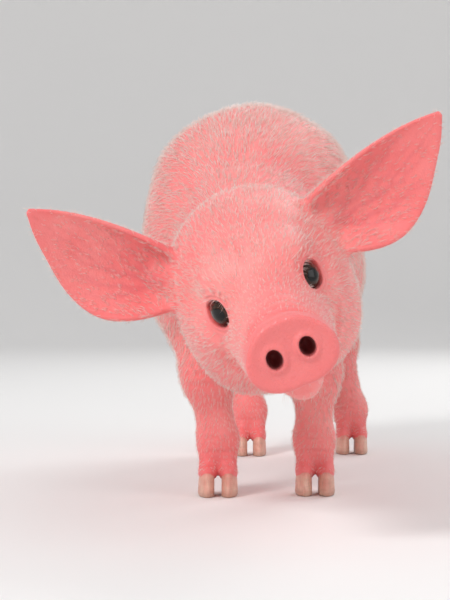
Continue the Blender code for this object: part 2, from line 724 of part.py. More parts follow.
def main():
    skin = material("skin", SKIN, 0.55)
    horn = material("hoof", HORN, 0.45)
    wet = material("eye", EYE_DARK, 0.08)
    whole = bpy.data.objects.new("whole", flesh_mesh(FLESH_STEP))
    model.objects.link(whole)
    smooth = whole.modifiers.new("smooth", "SMOOTH")
    smooth.iterations = 3
    fewer = whole.modifiers.new("fewer", "DECIMATE")
    fewer.ratio = FLESH_TRIANGLES / (2 * len(whole.data.polygons))
    after_modifiers(whole)
    whole.data.materials.append(skin)
    cut_joints()
    cut_feet()
    for side in SIDES:
        globe("socket", cutters, side, EYE_RADIUS + GAP)
    part_flesh(whole)
    for side in SIDES:
        eye = globe("eye_" + SIDE_NAMES[side], model, side, EYE_RADIUS)
        eye.data.materials.append(wet)
    for feet, kind in ((FRONT_FEET, "front"), (HIND_FEET, "hind")):
        for leg, foot in feet.items():
            fetlock = foot + Vector((0, FETLOCK_BACK[kind], FETLOCK_HEIGHT))
            for side in SIDES:
                stem = "_".join((kind, SIDE_NAMES[leg], "outer" if side == leg else "inner"))
                for thing in (claw(stem + "_claw", foot, side), dewclaw(stem + "_dewclaw", fetlock, side)):
                    thing.data.materials.append(horn)
    root = bpy.data.objects.new("root", None)
    model.objects.link(root)
    root.location = -BOX_MIDDLE
    for thing in model.objects:
        if thing is not root:
            thing.parent = root


main()
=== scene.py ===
"""A live piglet of about five weeks, standing with its head low and tilted, as the finish of its solids.

Metres, +Z up, in the solids' own frame: the snout points to -Y and the animal's own left is +X.
"""
import json
import math

import bmesh
import bpy
import numpy as np
import openvdb
from mathutils import Matrix, Vector
from mathutils.bvhtree import BVHTree
from mathutils.kdtree import KDTree

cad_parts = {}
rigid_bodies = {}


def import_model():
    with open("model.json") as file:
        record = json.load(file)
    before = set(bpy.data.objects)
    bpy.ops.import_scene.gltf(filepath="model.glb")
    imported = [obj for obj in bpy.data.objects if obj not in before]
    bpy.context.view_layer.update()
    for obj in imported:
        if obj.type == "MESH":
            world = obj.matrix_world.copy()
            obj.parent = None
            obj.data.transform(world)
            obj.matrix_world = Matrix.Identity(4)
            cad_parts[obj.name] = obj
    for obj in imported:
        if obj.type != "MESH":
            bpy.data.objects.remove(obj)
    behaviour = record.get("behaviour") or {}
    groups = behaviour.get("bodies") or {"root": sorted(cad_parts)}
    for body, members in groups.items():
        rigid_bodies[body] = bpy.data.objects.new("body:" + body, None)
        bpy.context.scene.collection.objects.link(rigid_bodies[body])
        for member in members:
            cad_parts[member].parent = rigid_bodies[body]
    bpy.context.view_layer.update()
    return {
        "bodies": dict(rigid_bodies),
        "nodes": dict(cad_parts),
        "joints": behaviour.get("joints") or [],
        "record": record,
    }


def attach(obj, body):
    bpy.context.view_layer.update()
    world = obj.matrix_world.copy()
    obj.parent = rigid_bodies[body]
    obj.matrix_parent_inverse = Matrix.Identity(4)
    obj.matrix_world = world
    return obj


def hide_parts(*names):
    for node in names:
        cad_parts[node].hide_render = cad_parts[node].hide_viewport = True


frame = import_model()
nodes = frame["nodes"]


# Camera
# It stands at the height of the piglet's eyes, a little over a metre before its front feet, and looks
# almost level along the body.

CAMERA_PLACE = (-0.006, -1.1703, 0.1485)
CAMERA_DOWN = math.radians(0.55)
CAMERA_LENS = 93.24


def shown(name, data):
    """A new object on the scene."""
    thing = bpy.data.objects.new(name, data)
    bpy.context.scene.collection.objects.link(thing)
    return thing


camera_data = bpy.data.cameras.new("camera")
camera_data.sensor_fit = "VERTICAL"
camera_data.sensor_height = 36
camera_data.lens = CAMERA_LENS
camera = shown("camera", camera_data)
camera.location = CAMERA_PLACE
camera.rotation_euler = (math.radians(90) - CAMERA_DOWN, 0, 0)
bpy.context.scene.camera = camera


# Trunk and neck
# The barrel of the body hangs between shoulders and hams, and runs on into a thick neck. It is flesh
# over bone, described here by distances: negative inside, positive outside.

FAR = 1.0


def length(q):
    return np.sqrt((q * q).sum(1))


def ball(p, centre, radii):
    """An ellipsoid lying along the axes of p."""
    q = p - np.array(centre, np.float32)
    r = np.array(radii, np.float32)
    near = length(q / r)
    return near * (near - 1) / np.maximum(length(q / (r * r)), 1e-6)


def rod(p, a, b, radius_a, radius_b):
    """A tapered limb with round ends from a to b."""
    a = np.array(a, np.float32)
    along = np.array(b, np.float32) - a
    t = np.clip((p - a) @ along / (along @ along), 0, 1)
    return length(p - a - t[:, None] * along) - (radius_a + (radius_b - radius_a) * t)


def flow(x, knots, values):
    """A smooth curve through the values at the knots, which rise."""
    knots, values = np.array(knots, np.float32), np.array(values, np.float32)
    slope = np.gradient(values, knots)
    x = np.clip(x, knots[0], knots[-1])
    i = np.clip(np.searchsorted(knots, x) - 1, 0, len(knots) - 2)
    width = knots[i + 1] - knots[i]
    t = (x - knots[i]) / width
    return (
        values[i] * (1 + 2 * t) * (1 - t) ** 2
        + values[i + 1] * t * t * (3 - 2 * t)
        + width * (slope[i] * t * (1 - t) ** 2 - slope[i + 1] * t * t * (1 - t))
    )


def flow_at(t, knots, values):
    """The smooth curve's value at one place."""
    return flow(np.array([t]), knots, values)[0]


def barrel(p, stations, fullness):
    """A lofted form along Y. Each station is (y, top, bottom, half width)."""
    y, top, bottom, half = zip(*stations)
    high, low = flow(p[:, 1], y, top), flow(p[:, 1], y, bottom)
    wide, tall = np.maximum(flow(p[:, 1], y, half), 0.002), np.maximum((high - low) / 2, 0.002)
    u, v = np.abs(p[:, 0]) / wide, np.abs(p[:, 2] - (high + low) / 2) / tall
    section = ((u**fullness + v**fullness) ** (1 / fullness) - 1) * np.minimum(wide, tall)
    beyond = np.maximum(np.maximum(y[0] - p[:, 1], p[:, 1] - y[-1]), 0)
    return np.where(beyond > 0, np.hypot(np.maximum(section, 0), beyond), section)


def join(a, b, soft):
    """The union of two forms with a fillet of about the given size."""
    h = np.maximum(soft - np.abs(a - b), 0) / soft
    return np.minimum(a, b) - h * h * soft / 4


def carve(a, b, soft):
    """Form a with form b taken out of it, its edge rounded."""
    return -join(-a, b, soft)


def lumps(d, q, side, rows):
    """Form d with an ellipsoid joined on for each row: centre on the left side, radii, softness."""
    for (x, y, z), radii, soft in rows:
        d = join(d, ball(q, (side * x, y, z), radii), soft)
    return d


def nearby(p, low, high, reach, distance):
    """The distance worked out only for the points near a box, as a far form changes nothing."""
    d = np.full(len(p), FAR, np.float32)
    close = ((p > np.array(low) - reach) & (p < np.array(high) + reach)).all(1)
    if close.any():
        d[close] = distance(p[close])
    return d


BODY_YAW = math.radians(4.5)
BODY = Matrix.Translation((0.0125, -0.0703, 0)) @ Matrix.Rotation(-BODY_YAW, 4, "Z")

HEAD_YAW, HEAD_PITCH, HEAD_ROLL = math.radians(6), math.radians(16), math.radians(-24)
HEAD = (
    Matrix.Translation((0.0135, -0.1643, 0.157))
    @ Matrix.Rotation(HEAD_YAW, 4, "Z")
    @ Matrix.Rotation(HEAD_PITCH, 4, "X")
    @ Matrix.Rotation(HEAD_ROLL, 4, "Y")
)

LEFT, RIGHT = 1, -1
SIDES = (LEFT, RIGHT)
FRONT_FEET = {RIGHT: Vector((-0.011, -0.0703, 0)), LEFT: Vector((0.058, -0.0643, 0))}
HIND_FEET = {RIGHT: Vector((0.016, 0.1917, 0)), LEFT: Vector((0.106, 0.2057, 0))}


def into(p, frame):
    """The points as the frame sees them."""
    m = np.array(frame.inverted(), np.float32)
    return p @ m[:3, :3].T + m[:3, 3]


TORSO_STATIONS = (
    # y, top, bottom, half width
    (-0.070, 0.198, 0.168, 0.012),
    (-0.055, 0.222, 0.146, 0.034),
    (-0.025, 0.248, 0.130, 0.049),
    (0.025, 0.269, 0.118, 0.057),
    (0.085, 0.282, 0.112, 0.0605),
    (0.150, 0.292, 0.109, 0.0625),
    (0.215, 0.294, 0.117, 0.0610),
    (0.270, 0.286, 0.139, 0.0565),
    (0.313, 0.267, 0.168, 0.049),
    (0.338, 0.243, 0.197, 0.030),
    (0.347, 0.228, 0.212, 0.008),
)
TORSO_FULLNESS = 2.0
SHOULDER_AND_HAM = (
    # centre on the left side, radii, softness
    ((0.041, 0.018, 0.192), (0.027, 0.048, 0.056), 0.028),
    ((0.042, 0.008, 0.160), (0.028, 0.040, 0.034), 0.028),
    ((0.035, 0.262, 0.198), (0.035, 0.064, 0.062), 0.028),
    ((0.036, 0.294, 0.176), (0.031, 0.044, 0.054), 0.026),
    ((0.042, 0.234, 0.164), (0.028, 0.044, 0.046), 0.026),
)


def torso(p):
    q = into(p, BODY)
    d = barrel(q, TORSO_STATIONS, TORSO_FULLNESS)
    for side in SIDES:
        d = lumps(d, q, side, SHOULDER_AND_HAM)
    return d


def neck(p):
    q = into(p, BODY)
    nape = BODY.inverted() @ (HEAD @ Vector((0, 0.004, 0.006)))
    throat = BODY.inverted() @ (HEAD @ Vector((0, -0.016, -0.018)))
    d = rod(q, (0, 0.020, 0.208), nape, 0.058, 0.048)
    return join(d, rod(q, (0, -0.005, 0.172), throat, 0.048, 0.042), 0.03)


# Teats
# Two rows of small teats under the belly, six on each side.

TEAT_ROWS = [0.045 + 0.034 * i for i in range(6)]
TEAT_SPREAD, TEAT_RADIUS, TEAT_HEIGHT, TEAT_SINK = 0.024, 0.0019, 0.0030, 0.002


def belly_height(x, y):
    """The height of the belly's skin at a place in the body's frame."""
    ys, tops, bottoms, halves = zip(*TORSO_STATIONS)
    top, bottom, half = (float(flow_at(y, ys, v)) for v in (tops, bottoms, halves))
    return (top + bottom) / 2 - (top - bottom) / 2 * math.sqrt(max(0, 1 - (x / half) ** 2))


TEATS = [(side * TEAT_SPREAD, y, belly_height(TEAT_SPREAD, y)) for side in SIDES for y in TEAT_ROWS]


def teats(d, p):
    q = into(p, BODY)
    for x, y, z in TEATS:
        tip = (x * 1.03, y, z - TEAT_HEIGHT)
        d = join(d, rod(q, (x, y, z + TEAT_SINK), tip, TEAT_RADIUS * 1.3, TEAT_RADIUS), 0.003)
    return d


# Tail
# A thin corkscrew of flesh set high between the hams, that opens from its root and sinks to the tip.

TAIL_ROOT = Vector((0, 0.344, 0.248))
TAIL_REACH, TAIL_CURL_RADIUS, TAIL_TURNS, TAIL_DROOP = 0.050, 0.0135, 1.35, 0.030
TAIL_STEPS = 26


def tail_point(s):
    """A corkscrew that opens from the root and sinks towards the tip; s runs from 0 to 1."""
    turn = 2 * math.pi * TAIL_TURNS * s
    open_by = TAIL_CURL_RADIUS * min(1, s / 0.35) ** 1.5
    swing = Vector((open_by * math.sin(turn), TAIL_REACH * s, -open_by * (1 - math.cos(turn))))
    return TAIL_ROOT + swing + Vector((0, 0, 0.004 * math.sin(math.pi * s) - TAIL_DROOP * s * s))


TAIL_CURVE = [tail_point(i / TAIL_STEPS) for i in range(TAIL_STEPS + 1)]
TAIL_RADII = [0.0074 - 0.0048 * (i / TAIL_STEPS) ** 0.8 for i in range(TAIL_STEPS + 1)]


def tail(p):
    q = into(p, BODY)
    d = rod(q, (0, 0.318, 0.240), TAIL_CURVE[0], 0.016, TAIL_RADII[0])
    for a, b, ra, rb in zip(TAIL_CURVE, TAIL_CURVE[1:], TAIL_RADII, TAIL_RADII[1:]):
        d = join(d, rod(q, a, b, ra, rb), 0.001)
    return d


# Legs and feet
# Forearm and gaskin taper to knee and hock, cannon and fetlock, and end in two toes, with the stub of a
# dewclaw behind each.

JOINT_SHARE, KNEE_HEIGHT, HOCK_HEIGHT, HOCK_BACK = 0.42, 0.086, 0.098, 0.030
ELBOW_RADIUS, KNEE_RADIUS, STIFLE_RADIUS, HOCK_RADIUS = 0.0295, 0.0170, 0.0350, 0.0165
CANNON_TOP_RADIUS, CANNON_LOW_RADIUS = 0.0148, 0.0132
FETLOCK_HEIGHT = 0.038
FETLOCK_BACK = {"front": 0.008, "hind": 0.011}
CLAW_SPREAD, CLAW_LENGTH, CLAW_WIDTH, CLAW_FORWARD = 0.0074, 0.0280, 0.0142, 0.003
CORONET_FRONT, CORONET_BACK = 0.0175, 0.0105
CORONET_SLOPE = (CORONET_BACK - CORONET_FRONT) / CLAW_LENGTH
DEW_LENGTH, DEW_RADIUS = 0.0085, 0.0037


def front_elbow(side):
    return BODY @ Vector((side * 0.043, 0.018, 0.148))


def front_knee(side):
    knee = FRONT_FEET[side].lerp(front_elbow(side), JOINT_SHARE) + Vector((0, -0.005, 0))
    knee.z = KNEE_HEIGHT
    return knee


def hind_stifle(side):
    return BODY @ Vector((side * 0.044, 0.240, 0.158))


def hind_hock(side):
    hock = HIND_FEET[side].lerp(hind_stifle(side), JOINT_SHARE)
    hock.y, hock.z = HIND_FEET[side].y + HOCK_BACK, HOCK_HEIGHT
    return hock


def fetlock_of(foot, kind):
    return foot + Vector((0, FETLOCK_BACK[kind], FETLOCK_HEIGHT))


def front_leg(p, side):
    foot, elbow, knee = FRONT_FEET[side], front_elbow(side), front_knee(side)
    fetlock = fetlock_of(foot, "front")
    d = rod(p, elbow, knee, ELBOW_RADIUS, KNEE_RADIUS)
    d = join(d, ball(p, knee, (0.0158, 0.0166, 0.0190)), 0.012)
    d = join(d, rod(p, knee, fetlock, CANNON_TOP_RADIUS, CANNON_LOW_RADIUS), 0.012)
    return join(d, foot_flesh(p, foot, fetlock), 0.008)


def hind_leg(p, side):
    foot, stifle, hock = HIND_FEET[side], hind_stifle(side), hind_hock(side)
    buttock = BODY @ Vector((side * 0.038, 0.296, 0.170))
    fetlock = fetlock_of(foot, "hind")
    d = rod(p, stifle, hock, STIFLE_RADIUS, HOCK_RADIUS)
    d = join(d, rod(p, buttock, hock, 0.0270, 0.0145), 0.020)
    d = join(d, ball(p, hock + Vector((0, 0.004, 0.003)), (0.0146, 0.0142, 0.0190)), 0.014)
    d = join(d, rod(p, hock, fetlock, CANNON_TOP_RADIUS, CANNON_LOW_RADIUS), 0.014)
    return join(d, foot_flesh(p, foot, fetlock), 0.008)


def coronet(y):
    """The height of a claw's upper edge at a distance behind the foot's middle."""
    return CORONET_FRONT + CORONET_SLOPE * (y + CLAW_FORWARD + CLAW_LENGTH / 2)


def dew_root(side):
    """Where a dewclaw's horn starts, from the fetlock."""
    return Vector((side * 0.0095, 0.0125, -0.0080))


def dew_way(side):
    return Vector((side * 0.20, 0.46, -0.86)).normalized()


def foot_flesh(p, foot, fetlock):
    d = ball(p, fetlock, (0.0146, 0.0150, 0.0140))
    for side in SIDES:
        top = fetlock + Vector((side * 0.0050, -0.004, -0.006))
        toe = foot + Vector((side * CLAW_SPREAD, -0.002, 0.014))
        d = join(d, rod(p, top, toe, 0.0092, 0.0064), 0.004)
        d = join(d, ball(p, toe, (0.0068, 0.0124, 0.0100)), 0.003)
        start, root = fetlock + Vector((side * 0.006, 0.004, 0.002)), fetlock + dew_root(side)
        d = join(d, rod(p, start, root, 0.0075, DEW_RADIUS + 0.0008), 0.004)
    return d


# Head
# A wedge of a skull with jowls, a muzzle that ends in a flat disc with two nostrils, lips that meet in
# a line along the muzzle, and lids that wrap each eye.

HEAD_STATIONS = (
    # y, top, bottom, half width
    (-0.156, 0.0180, -0.0210, 0.0220),
    (-0.142, 0.0195, -0.0270, 0.0232),
    (-0.122, 0.0222, -0.0325, 0.0240),
    (-0.101, 0.0280, -0.0390, 0.0262),
    (-0.080, 0.0385, -0.0455, 0.0312),
    (-0.056, 0.0480, -0.0505, 0.0410),
    (-0.028, 0.0515, -0.0500, 0.0480),
    (0.000, 0.0455, -0.0440, 0.0430),
    (0.018, 0.0240, -0.0220, 0.0200),
)
HEAD_FULLNESS = 2.1
CHEEK_AND_BROW = (
    # centre on the left side, radii, softness
    ((0.025, -0.036, -0.029), (0.027, 0.038, 0.030), 0.022),
    ((0.034, -0.050, -0.006), (0.012, 0.026, 0.014), 0.018),
    ((0.020, -0.070, 0.026), (0.013, 0.016, 0.009), 0.016),
)


def head(p):
    q = into(p, HEAD)
    d = barrel(q, HEAD_STATIONS, HEAD_FULLNESS)
    jaw = rod(q, (0, -0.055, -0.035), (0, -0.136, -0.0285), 0.025, 0.0120)
    d = join(d, jaw, 0.010)
    for side in SIDES:
        d = lumps(d, q, side, CHEEK_AND_BROW)
        lip = rod(q, (side * 0.014, -0.094, -0.012), (side * 0.0125, -0.144, -0.0085), 0.0165, 0.0135)
        d = join(d, lip, 0.012)
    d = lips(d, q)
    d = join(d, snout_disc(q), 0.005)
    for side in SIDES:
        d = eyelids(d, q, side)
        d = nostril(d, q, side)
    return d


# Where the lips meet, along the muzzle from its front to the corner and on down behind the jaw
MOUTH_Y = (-0.175, -0.150, -0.134, -0.116, -0.100, -0.088)
MOUTH_Z = (-0.0240, -0.0243, -0.0270, -0.0266, -0.0240, -0.0205)
LIP_GROOVE_HALF, LIP_GROOVE_DEPTH = 0.0016, 0.0014


def lips(d, q):
    """A soft groove where the upper lip meets the lower one."""
    off = np.abs(q[:, 2] - flow(q[:, 1], MOUTH_Y, MOUTH_Z)) / LIP_GROOVE_HALF
    fade = np.clip((-0.084 - q[:, 1]) / 0.008, 0, 1)
    return d + LIP_GROOVE_DEPTH * fade * np.exp(-off * off) * (np.abs(d) < 0.01)


DISC_AT = (0, -0.159, -0.0005)
DISC_TILT = math.radians(-7)
DISC_HALF_WIDTH, DISC_HALF_HEIGHT, DISC_HALF_DEPTH, DISC_EDGE = 0.0276, 0.0218, 0.0052, 0.0034
DISC = Matrix.Translation(DISC_AT) @ Matrix.Rotation(DISC_TILT, 4, "X")


def snout_disc(q):
    s = into(q, DISC)
    dip = 0.0022 * np.exp(-((s[:, 0] / 0.007) ** 2)) * (s[:, 2] > 0)
    reach = np.hypot(s[:, 0] / DISC_HALF_WIDTH, (s[:, 2] + 0.15 * np.abs(s[:, 0])) / DISC_HALF_HEIGHT)
    radial = (reach - 1) * DISC_HALF_HEIGHT + dip + DISC_EDGE
    hollow = 0.0016 * np.exp(-((reach / 0.75) ** 4))
    deep = np.abs(s[:, 1] - hollow) - DISC_HALF_DEPTH + DISC_EDGE
    outside = np.hypot(np.maximum(radial, 0), np.maximum(deep, 0))
    return outside + np.minimum(np.maximum(radial, deep), 0) - DISC_EDGE


NOSTRIL_AT = (0.0098, -0.0045, -0.0010)
NOSTRIL_HALF_WIDTH, NOSTRIL_HALF_HEIGHT, NOSTRIL_DEPTH, NOSTRIL_RIM = 0.0040, 0.0052, 0.0120, 0.0032


def nostril(d, q, side):
    """A raised rim with a tapering hole through the disc."""
    s = into(q, DISC)
    x, y, z = NOSTRIL_AT
    rim_size = (NOSTRIL_HALF_WIDTH + NOSTRIL_RIM, 0.0030, NOSTRIL_HALF_HEIGHT + NOSTRIL_RIM)
    rim = ball(s, (side * x, y + 0.001, z), rim_size)
    hole = ball(s, (side * x, y, z), (NOSTRIL_HALF_WIDTH, NOSTRIL_DEPTH, NOSTRIL_HALF_HEIGHT))
    return carve(join(d, rim, 0.003), hole, 0.0016)


EYE_AT = (0.0232, -0.0755, 0.0085)
EYE_GAZE = (0.64, -0.75, 0.15)
EYE_RADIUS = 0.0110
LID_THICKNESS = 0.0016
EYE_COVER = 0.0008
LID_HALF_LENGTH, LID_HALF_OPENING, SLIT_BACK = 0.0106, 0.0086, 0.0008


def eye_frame(side):
    """The eye's own frame in the head's: X along the slit to its front corner, Y up, Z the way it looks."""
    x, y, z = EYE_AT
    out = Vector((side * EYE_GAZE[0], EYE_GAZE[1], EYE_GAZE[2])).normalized()
    front = Vector((side * -0.35, -1, -0.30))
    front = (front - out * front.dot(out)).normalized()
    up = out.cross(front)
    if up.z < 0:
        up = -up
    turn = Matrix((front, up, out)).transposed().to_4x4()
    return Matrix.Translation((side * x, y, z)) @ turn


def eyelids(d, q, side):
    """Two lids that wrap the globe, parted by a slit, over a socket that holds it."""
    e = into(q, eye_frame(side))
    globe = length(e) - EYE_RADIUS
    d = join(d, globe - LID_THICKNESS, 0.007)
    from_middle = e[:, 0] + SLIT_BACK
    opening = LID_HALF_OPENING * np.maximum(1 - (from_middle / LID_HALF_LENGTH) ** 2, 0) ** 0.7
    over_globe = np.maximum(-globe - EYE_COVER, -e[:, 2])
    slit = np.maximum(np.abs(e[:, 1]) - opening, np.abs(from_middle) - LID_HALF_LENGTH)
    slit = np.maximum(slit, over_globe)
    return carve(d, slit, 0.0012)


# Ears
# Leaf-shaped sheets of cartilage and thin skin, cupped at the root, each with its upper edge rolled.

EAR_LENGTH, EAR_SINK, EAR_ROLL, EAR_ROLL_TURN = 0.115, 0.008, 0.010, 1.25
EAR_UPPER, EAR_LOWER = 0.0230, 0.0395
# The reach of either edge and how tightly the cup curls, from the root at 0 to the tip at 1
UPPER_AT, UPPER_SHARE = (0, 0.15, 0.4, 0.7, 0.88, 1), (0.50, 0.88, 1.0, 0.70, 0.34, 0.03)
LOWER_AT, LOWER_SHARE = (0, 0.15, 0.35, 0.6, 0.8, 0.93, 1), (0.36, 0.76, 1.0, 0.85, 0.50, 0.23, 0.03)
CURL_AT, CURL = (0, 0.2, 0.5, 1), (62, 34, 15, 9)
EAR_ALONG = {LEFT: Vector((0.68, -0.20, 0.60)), RIGHT: Vector((-0.88, -0.22, 0.40))}
EAR_FACE = {LEFT: Vector((0.10, -0.92, -0.20)), RIGHT: Vector((-0.05, -0.92, -0.25))}
EAR_ROWS, EAR_COLUMNS = 61, 65


def ear_frame(side):
    """The ear's own frame: X out to the tip, Y across to the lower edge, Z the way the cup faces."""
    along = EAR_ALONG[side].normalized()
    across = EAR_FACE[side].cross(along).normalized()
    if across.z > 0:
        across = -across
    face = along.cross(across)
    if face.y > 0:
        face = -face
    turn = Matrix((along, across, face)).transposed().to_4x4()
    root = HEAD @ Vector((side * 0.043, -0.014, 0.020)) - EAR_SINK * along
    return Matrix.Translation(root) @ turn


def ear_row(t):
    """One row of points across the ear's middle sheet, curled into a cup and rolled at its upper edge."""
    upper = EAR_UPPER * flow_at(t, UPPER_AT, UPPER_SHARE)
    lower = EAR_LOWER * flow_at(t, LOWER_AT, LOWER_SHARE)
    a = np.linspace(-upper, lower, EAR_COLUMNS)
    rim = min(EAR_ROLL, 0.45 * upper)
    rolled = np.clip((-a - upper + rim) / rim, 0, 1)
    roll = EAR_ROLL_TURN * math.sin(math.pi * min(1, 0.25 + 0.75 * t))
    turn = flow_at(t, CURL_AT, CURL) * a - roll * rolled**1.5
    step = a[1] - a[0]
    across = np.cumsum(np.cos(turn)) * step
    out = np.cumsum(np.sin(turn)) * step
    across, out = across - np.interp(0, a, across), out - np.interp(0, a, out)
    along = np.full(EAR_COLUMNS, EAR_LENGTH * t)
    return np.stack((along, across + 0.006 * math.sin(math.pi * t), out + (0.020 * t * t - 0.010 * t)), 1)


EAR_SHEET = np.concatenate([ear_row(i / (EAR_ROWS - 1)) for i in range(EAR_ROWS)])
EAR_FACES = [
    (i * EAR_COLUMNS + j, (i + 1) * EAR_COLUMNS + j, (i + 1) * EAR_COLUMNS + j + 1, i * EAR_COLUMNS + j + 1)
    for i in range(EAR_ROWS - 1) for j in range(EAR_COLUMNS - 1)
]
EAR_TREE = BVHTree.FromPolygons(EAR_SHEET.tolist(), EAR_FACES)
EAR_THICK_ROOT, EAR_THICK_TIP = 0.0026, 0.0013


def ear(p, side):
    """The ear's sheet with its thickness, and the fleshy knob that it grows from."""
    q = into(p, ear_frame(side))
    d = np.empty(len(q), np.float32)
    for i, point in enumerate(q):
        near, normal, face, away = EAR_TREE.find_nearest(point)
        thick = EAR_THICK_TIP + (EAR_THICK_ROOT - EAR_THICK_TIP) * (1 - near.x / EAR_LENGTH) ** 2
        d[i] = away - thick
    return join(d, rod(q, (-0.004, 0.004, -0.004), (0.018, 0.004, -0.002), 0.016, 0.008), 0.010)


def ear_reach(side):
    corners = [ear_frame(side) @ Vector(point) for point in EAR_SHEET[::8]]
    return [min(c[i] for c in corners) for i in range(3)], [max(c[i] for c in corners) for i in range(3)]


# Skin
# One hide over the whole animal, thin enough for blood to show through: pink, redder where it is thin
# or bare, with fine folds where the body bends and painted shade in their creases, in the nostrils and
# along the mouth. It lies inside the solids by the coat's depth.

LOW, HIGH = np.array((-0.18, -0.35, 0.0)), np.array((0.19, 0.35, 0.32))
COAT_DEPTH, EAR_COAT_DEPTH = 0.0006, 0.0001
CUFF, CUFF_EDGE, CUFF_TAPER, CUFF_RISE = 0.0022, 0.0008, 0.0010, 0.0060
UNDER_LOW, UNDER_HIGH = np.array((-0.05, -0.08, 0.08)), np.array((0.10, 0.20, 0.15))


def hide(p):
    """The distance to the skin, which lies a coat's depth inside the flesh of the solids."""
    d = nearby(p, (-0.08, -0.16, 0.09), (0.12, 0.30, 0.31), 0.05, torso)
    d = join(d, nearby(p, (-0.08, -0.24, 0.06), (0.12, 0.01, 0.29), 0.04, neck), 0.040)
    d = join(d, nearby(p, (-0.08, -0.34, 0.05), (0.12, -0.06, 0.24), 0.03, head), 0.028)
    d = join(d, nearby(p, (-0.02, 0.23, 0.18), (0.09, 0.36, 0.30), 0.02, tail), 0.010)
    for side in SIDES:
        front = nearby(p, (-0.08, -0.13, 0.0), (0.12, 0.01, 0.19), 0.03, lambda q: front_leg(q, side))
        d = join(d, front, 0.022)
        hind = nearby(p, (-0.06, 0.10, 0.0), (0.16, 0.30, 0.22), 0.03, lambda q: hind_leg(q, side))
        d = join(d, hind, 0.022)
    under = ((p > UNDER_LOW) & (p < UNDER_HIGH)).all(1)
    if under.any():
        d[under] = teats(d[under], p[under])
    d = d + COAT_DEPTH
    for foot in (*FRONT_FEET.values(), *HIND_FEET.values()):
        from_foot = p - np.array(foot, np.float32)
        over_claws = (np.abs(from_foot) < 0.030).all(1)
        below = from_foot[over_claws, 2] - coronet(from_foot[over_claws, 1]) + CUFF
        taper = CUFF_TAPER * np.clip(1 - below / CUFF_RISE, 0, 1) ** 2
        d[over_claws] = carve(d[over_claws] + taper, below, CUFF_EDGE)
    for side in SIDES:
        low, high = ear_reach(side)
        d = join(d, nearby(p, low, high, 0.015, lambda q: ear(q, side)) + EAR_COAT_DEPTH, 0.008)
    return d


BLOCK = 8


def hide_grid(step):
    """The hide's distances on a grid, worked out finely only in blocks that its surface may cross."""
    size = step * BLOCK
    counts = np.ceil((HIGH - LOW) / size).astype(int)
    dense = np.full(counts * BLOCK, FAR, np.float32)
    cells = np.stack(np.meshgrid(*[np.arange(n) for n in counts], indexing="ij"), -1).reshape(-1, 3)
    coarse = hide((LOW + (cells + 0.5) * size).astype(np.float32))
    for i, j, k in cells[coarse < 0] * BLOCK:
        dense[i:i + BLOCK, j:j + BLOCK, k:k + BLOCK] = -FAR
    crossed = cells[np.abs(coarse) < size * 1.6]
    inner = np.stack(np.meshgrid(*[np.arange(BLOCK)] * 3, indexing="ij"), -1).reshape(-1, 3)
    for some in np.array_split(crossed, len(crossed) // 400 + 1):
        index = (some[:, None] * BLOCK + inner[None]).reshape(-1, 3)
        dense[index[:, 0], index[:, 1], index[:, 2]] = hide((LOW + index * step).astype(np.float32))
    return dense


def hide_mesh(step):
    """The surface where the hide's distance is nought, as a closed mesh of quads."""
    grid = openvdb.FloatGrid(FAR)
    grid.transform = openvdb.createLinearTransform(voxelSize=step)
    grid.copyFromArray(np.clip(hide_grid(step), -4 * step, 4 * step))
    points, quads = grid.convertToQuads(isovalue=0.0)
    mesh = bpy.data.meshes.new("skin")
    mesh.from_pydata(points + LOW, [], quads)
    mesh.validate()
    return mesh


def numbers(items, name, width, kind):
    found = np.empty(len(items) * width, kind)
    items.foreach_get(name, found)
    return found.reshape(-1, width)


def plain_copy(thing):
    """The object's mesh as its modifiers leave it, which then replaces the modifiers."""
    seen = thing.evaluated_get(bpy.context.evaluated_depsgraph_get())
    mesh = bpy.data.meshes.new_from_object(seen)
    thing.modifiers.clear()
    thing.data = mesh


HIDE_STEP = 0.0013
HIDE_TRIANGLES = 72000

skin = shown("skin", hide_mesh(HIDE_STEP))
fewer = skin.modifiers.new("fewer", "DECIMATE")
fewer.ratio = HIDE_TRIANGLES / (2 * len(skin.data.polygons))
fewer.use_collapse_triangulate = True
plain_copy(skin)
points = numbers(skin.data.vertices, "co", 3, np.float32)
skin.data.calc_loop_triangles()
faces = numbers(skin.data.loop_triangles, "vertices", 3, np.int32)


SLOPE_REACH, SETTLING, SETTLED_AT_ONCE = 0.0004, 0.0012, 40000


def hide_slope(p):
    """The hide's distance at each point and the way in which it grows."""
    ways = np.array(((1, -1, -1), (-1, -1, 1), (-1, 1, -1), (1, 1, 1)), np.float32)
    found = [hide(p + SLOPE_REACH * way) for way in ways]
    return sum(found) / 4, sum(f[:, None] * way for f, way in zip(found, ways)) / (4 * SLOPE_REACH)


def settled(p):
    """The points moved on to the hide's own surface, one careful step each."""
    out = p.copy()
    for start in range(0, len(p), SETTLED_AT_ONCE):
        some = slice(start, start + SETTLED_AT_ONCE)
        d, slope = hide_slope(p[some])
        steep = np.maximum((slope * slope).sum(1), 0.2)
        out[some] -= np.clip(d / steep, -SETTLING, SETTLING)[:, None] * slope
    return out


def edges_of(faces):
    """Each edge once, and the three edges of each triangle."""
    ends = np.sort(faces[:, [0, 1, 1, 2, 2, 0]].reshape(-1, 2), axis=1)
    edges, which = np.unique(ends, axis=0, return_inverse=True)
    return edges, which.reshape(-1, 3)


def face_normals(points, faces):
    a, b, c = (points[faces[:, k]] for k in range(3))
    n = np.cross(b - a, c - a)
    return n, n / np.maximum(np.linalg.norm(n, axis=1, keepdims=True), 1e-12)


def point_normals(points, faces):
    wide = face_normals(points, faces)[0]
    n = np.stack([
        sum(np.bincount(faces[:, k], wide[:, axis], len(points)) for k in range(3)) for axis in range(3)
    ], 1)
    return (n / np.maximum(np.linalg.norm(n, axis=1, keepdims=True), 1e-12)).astype(np.float32)


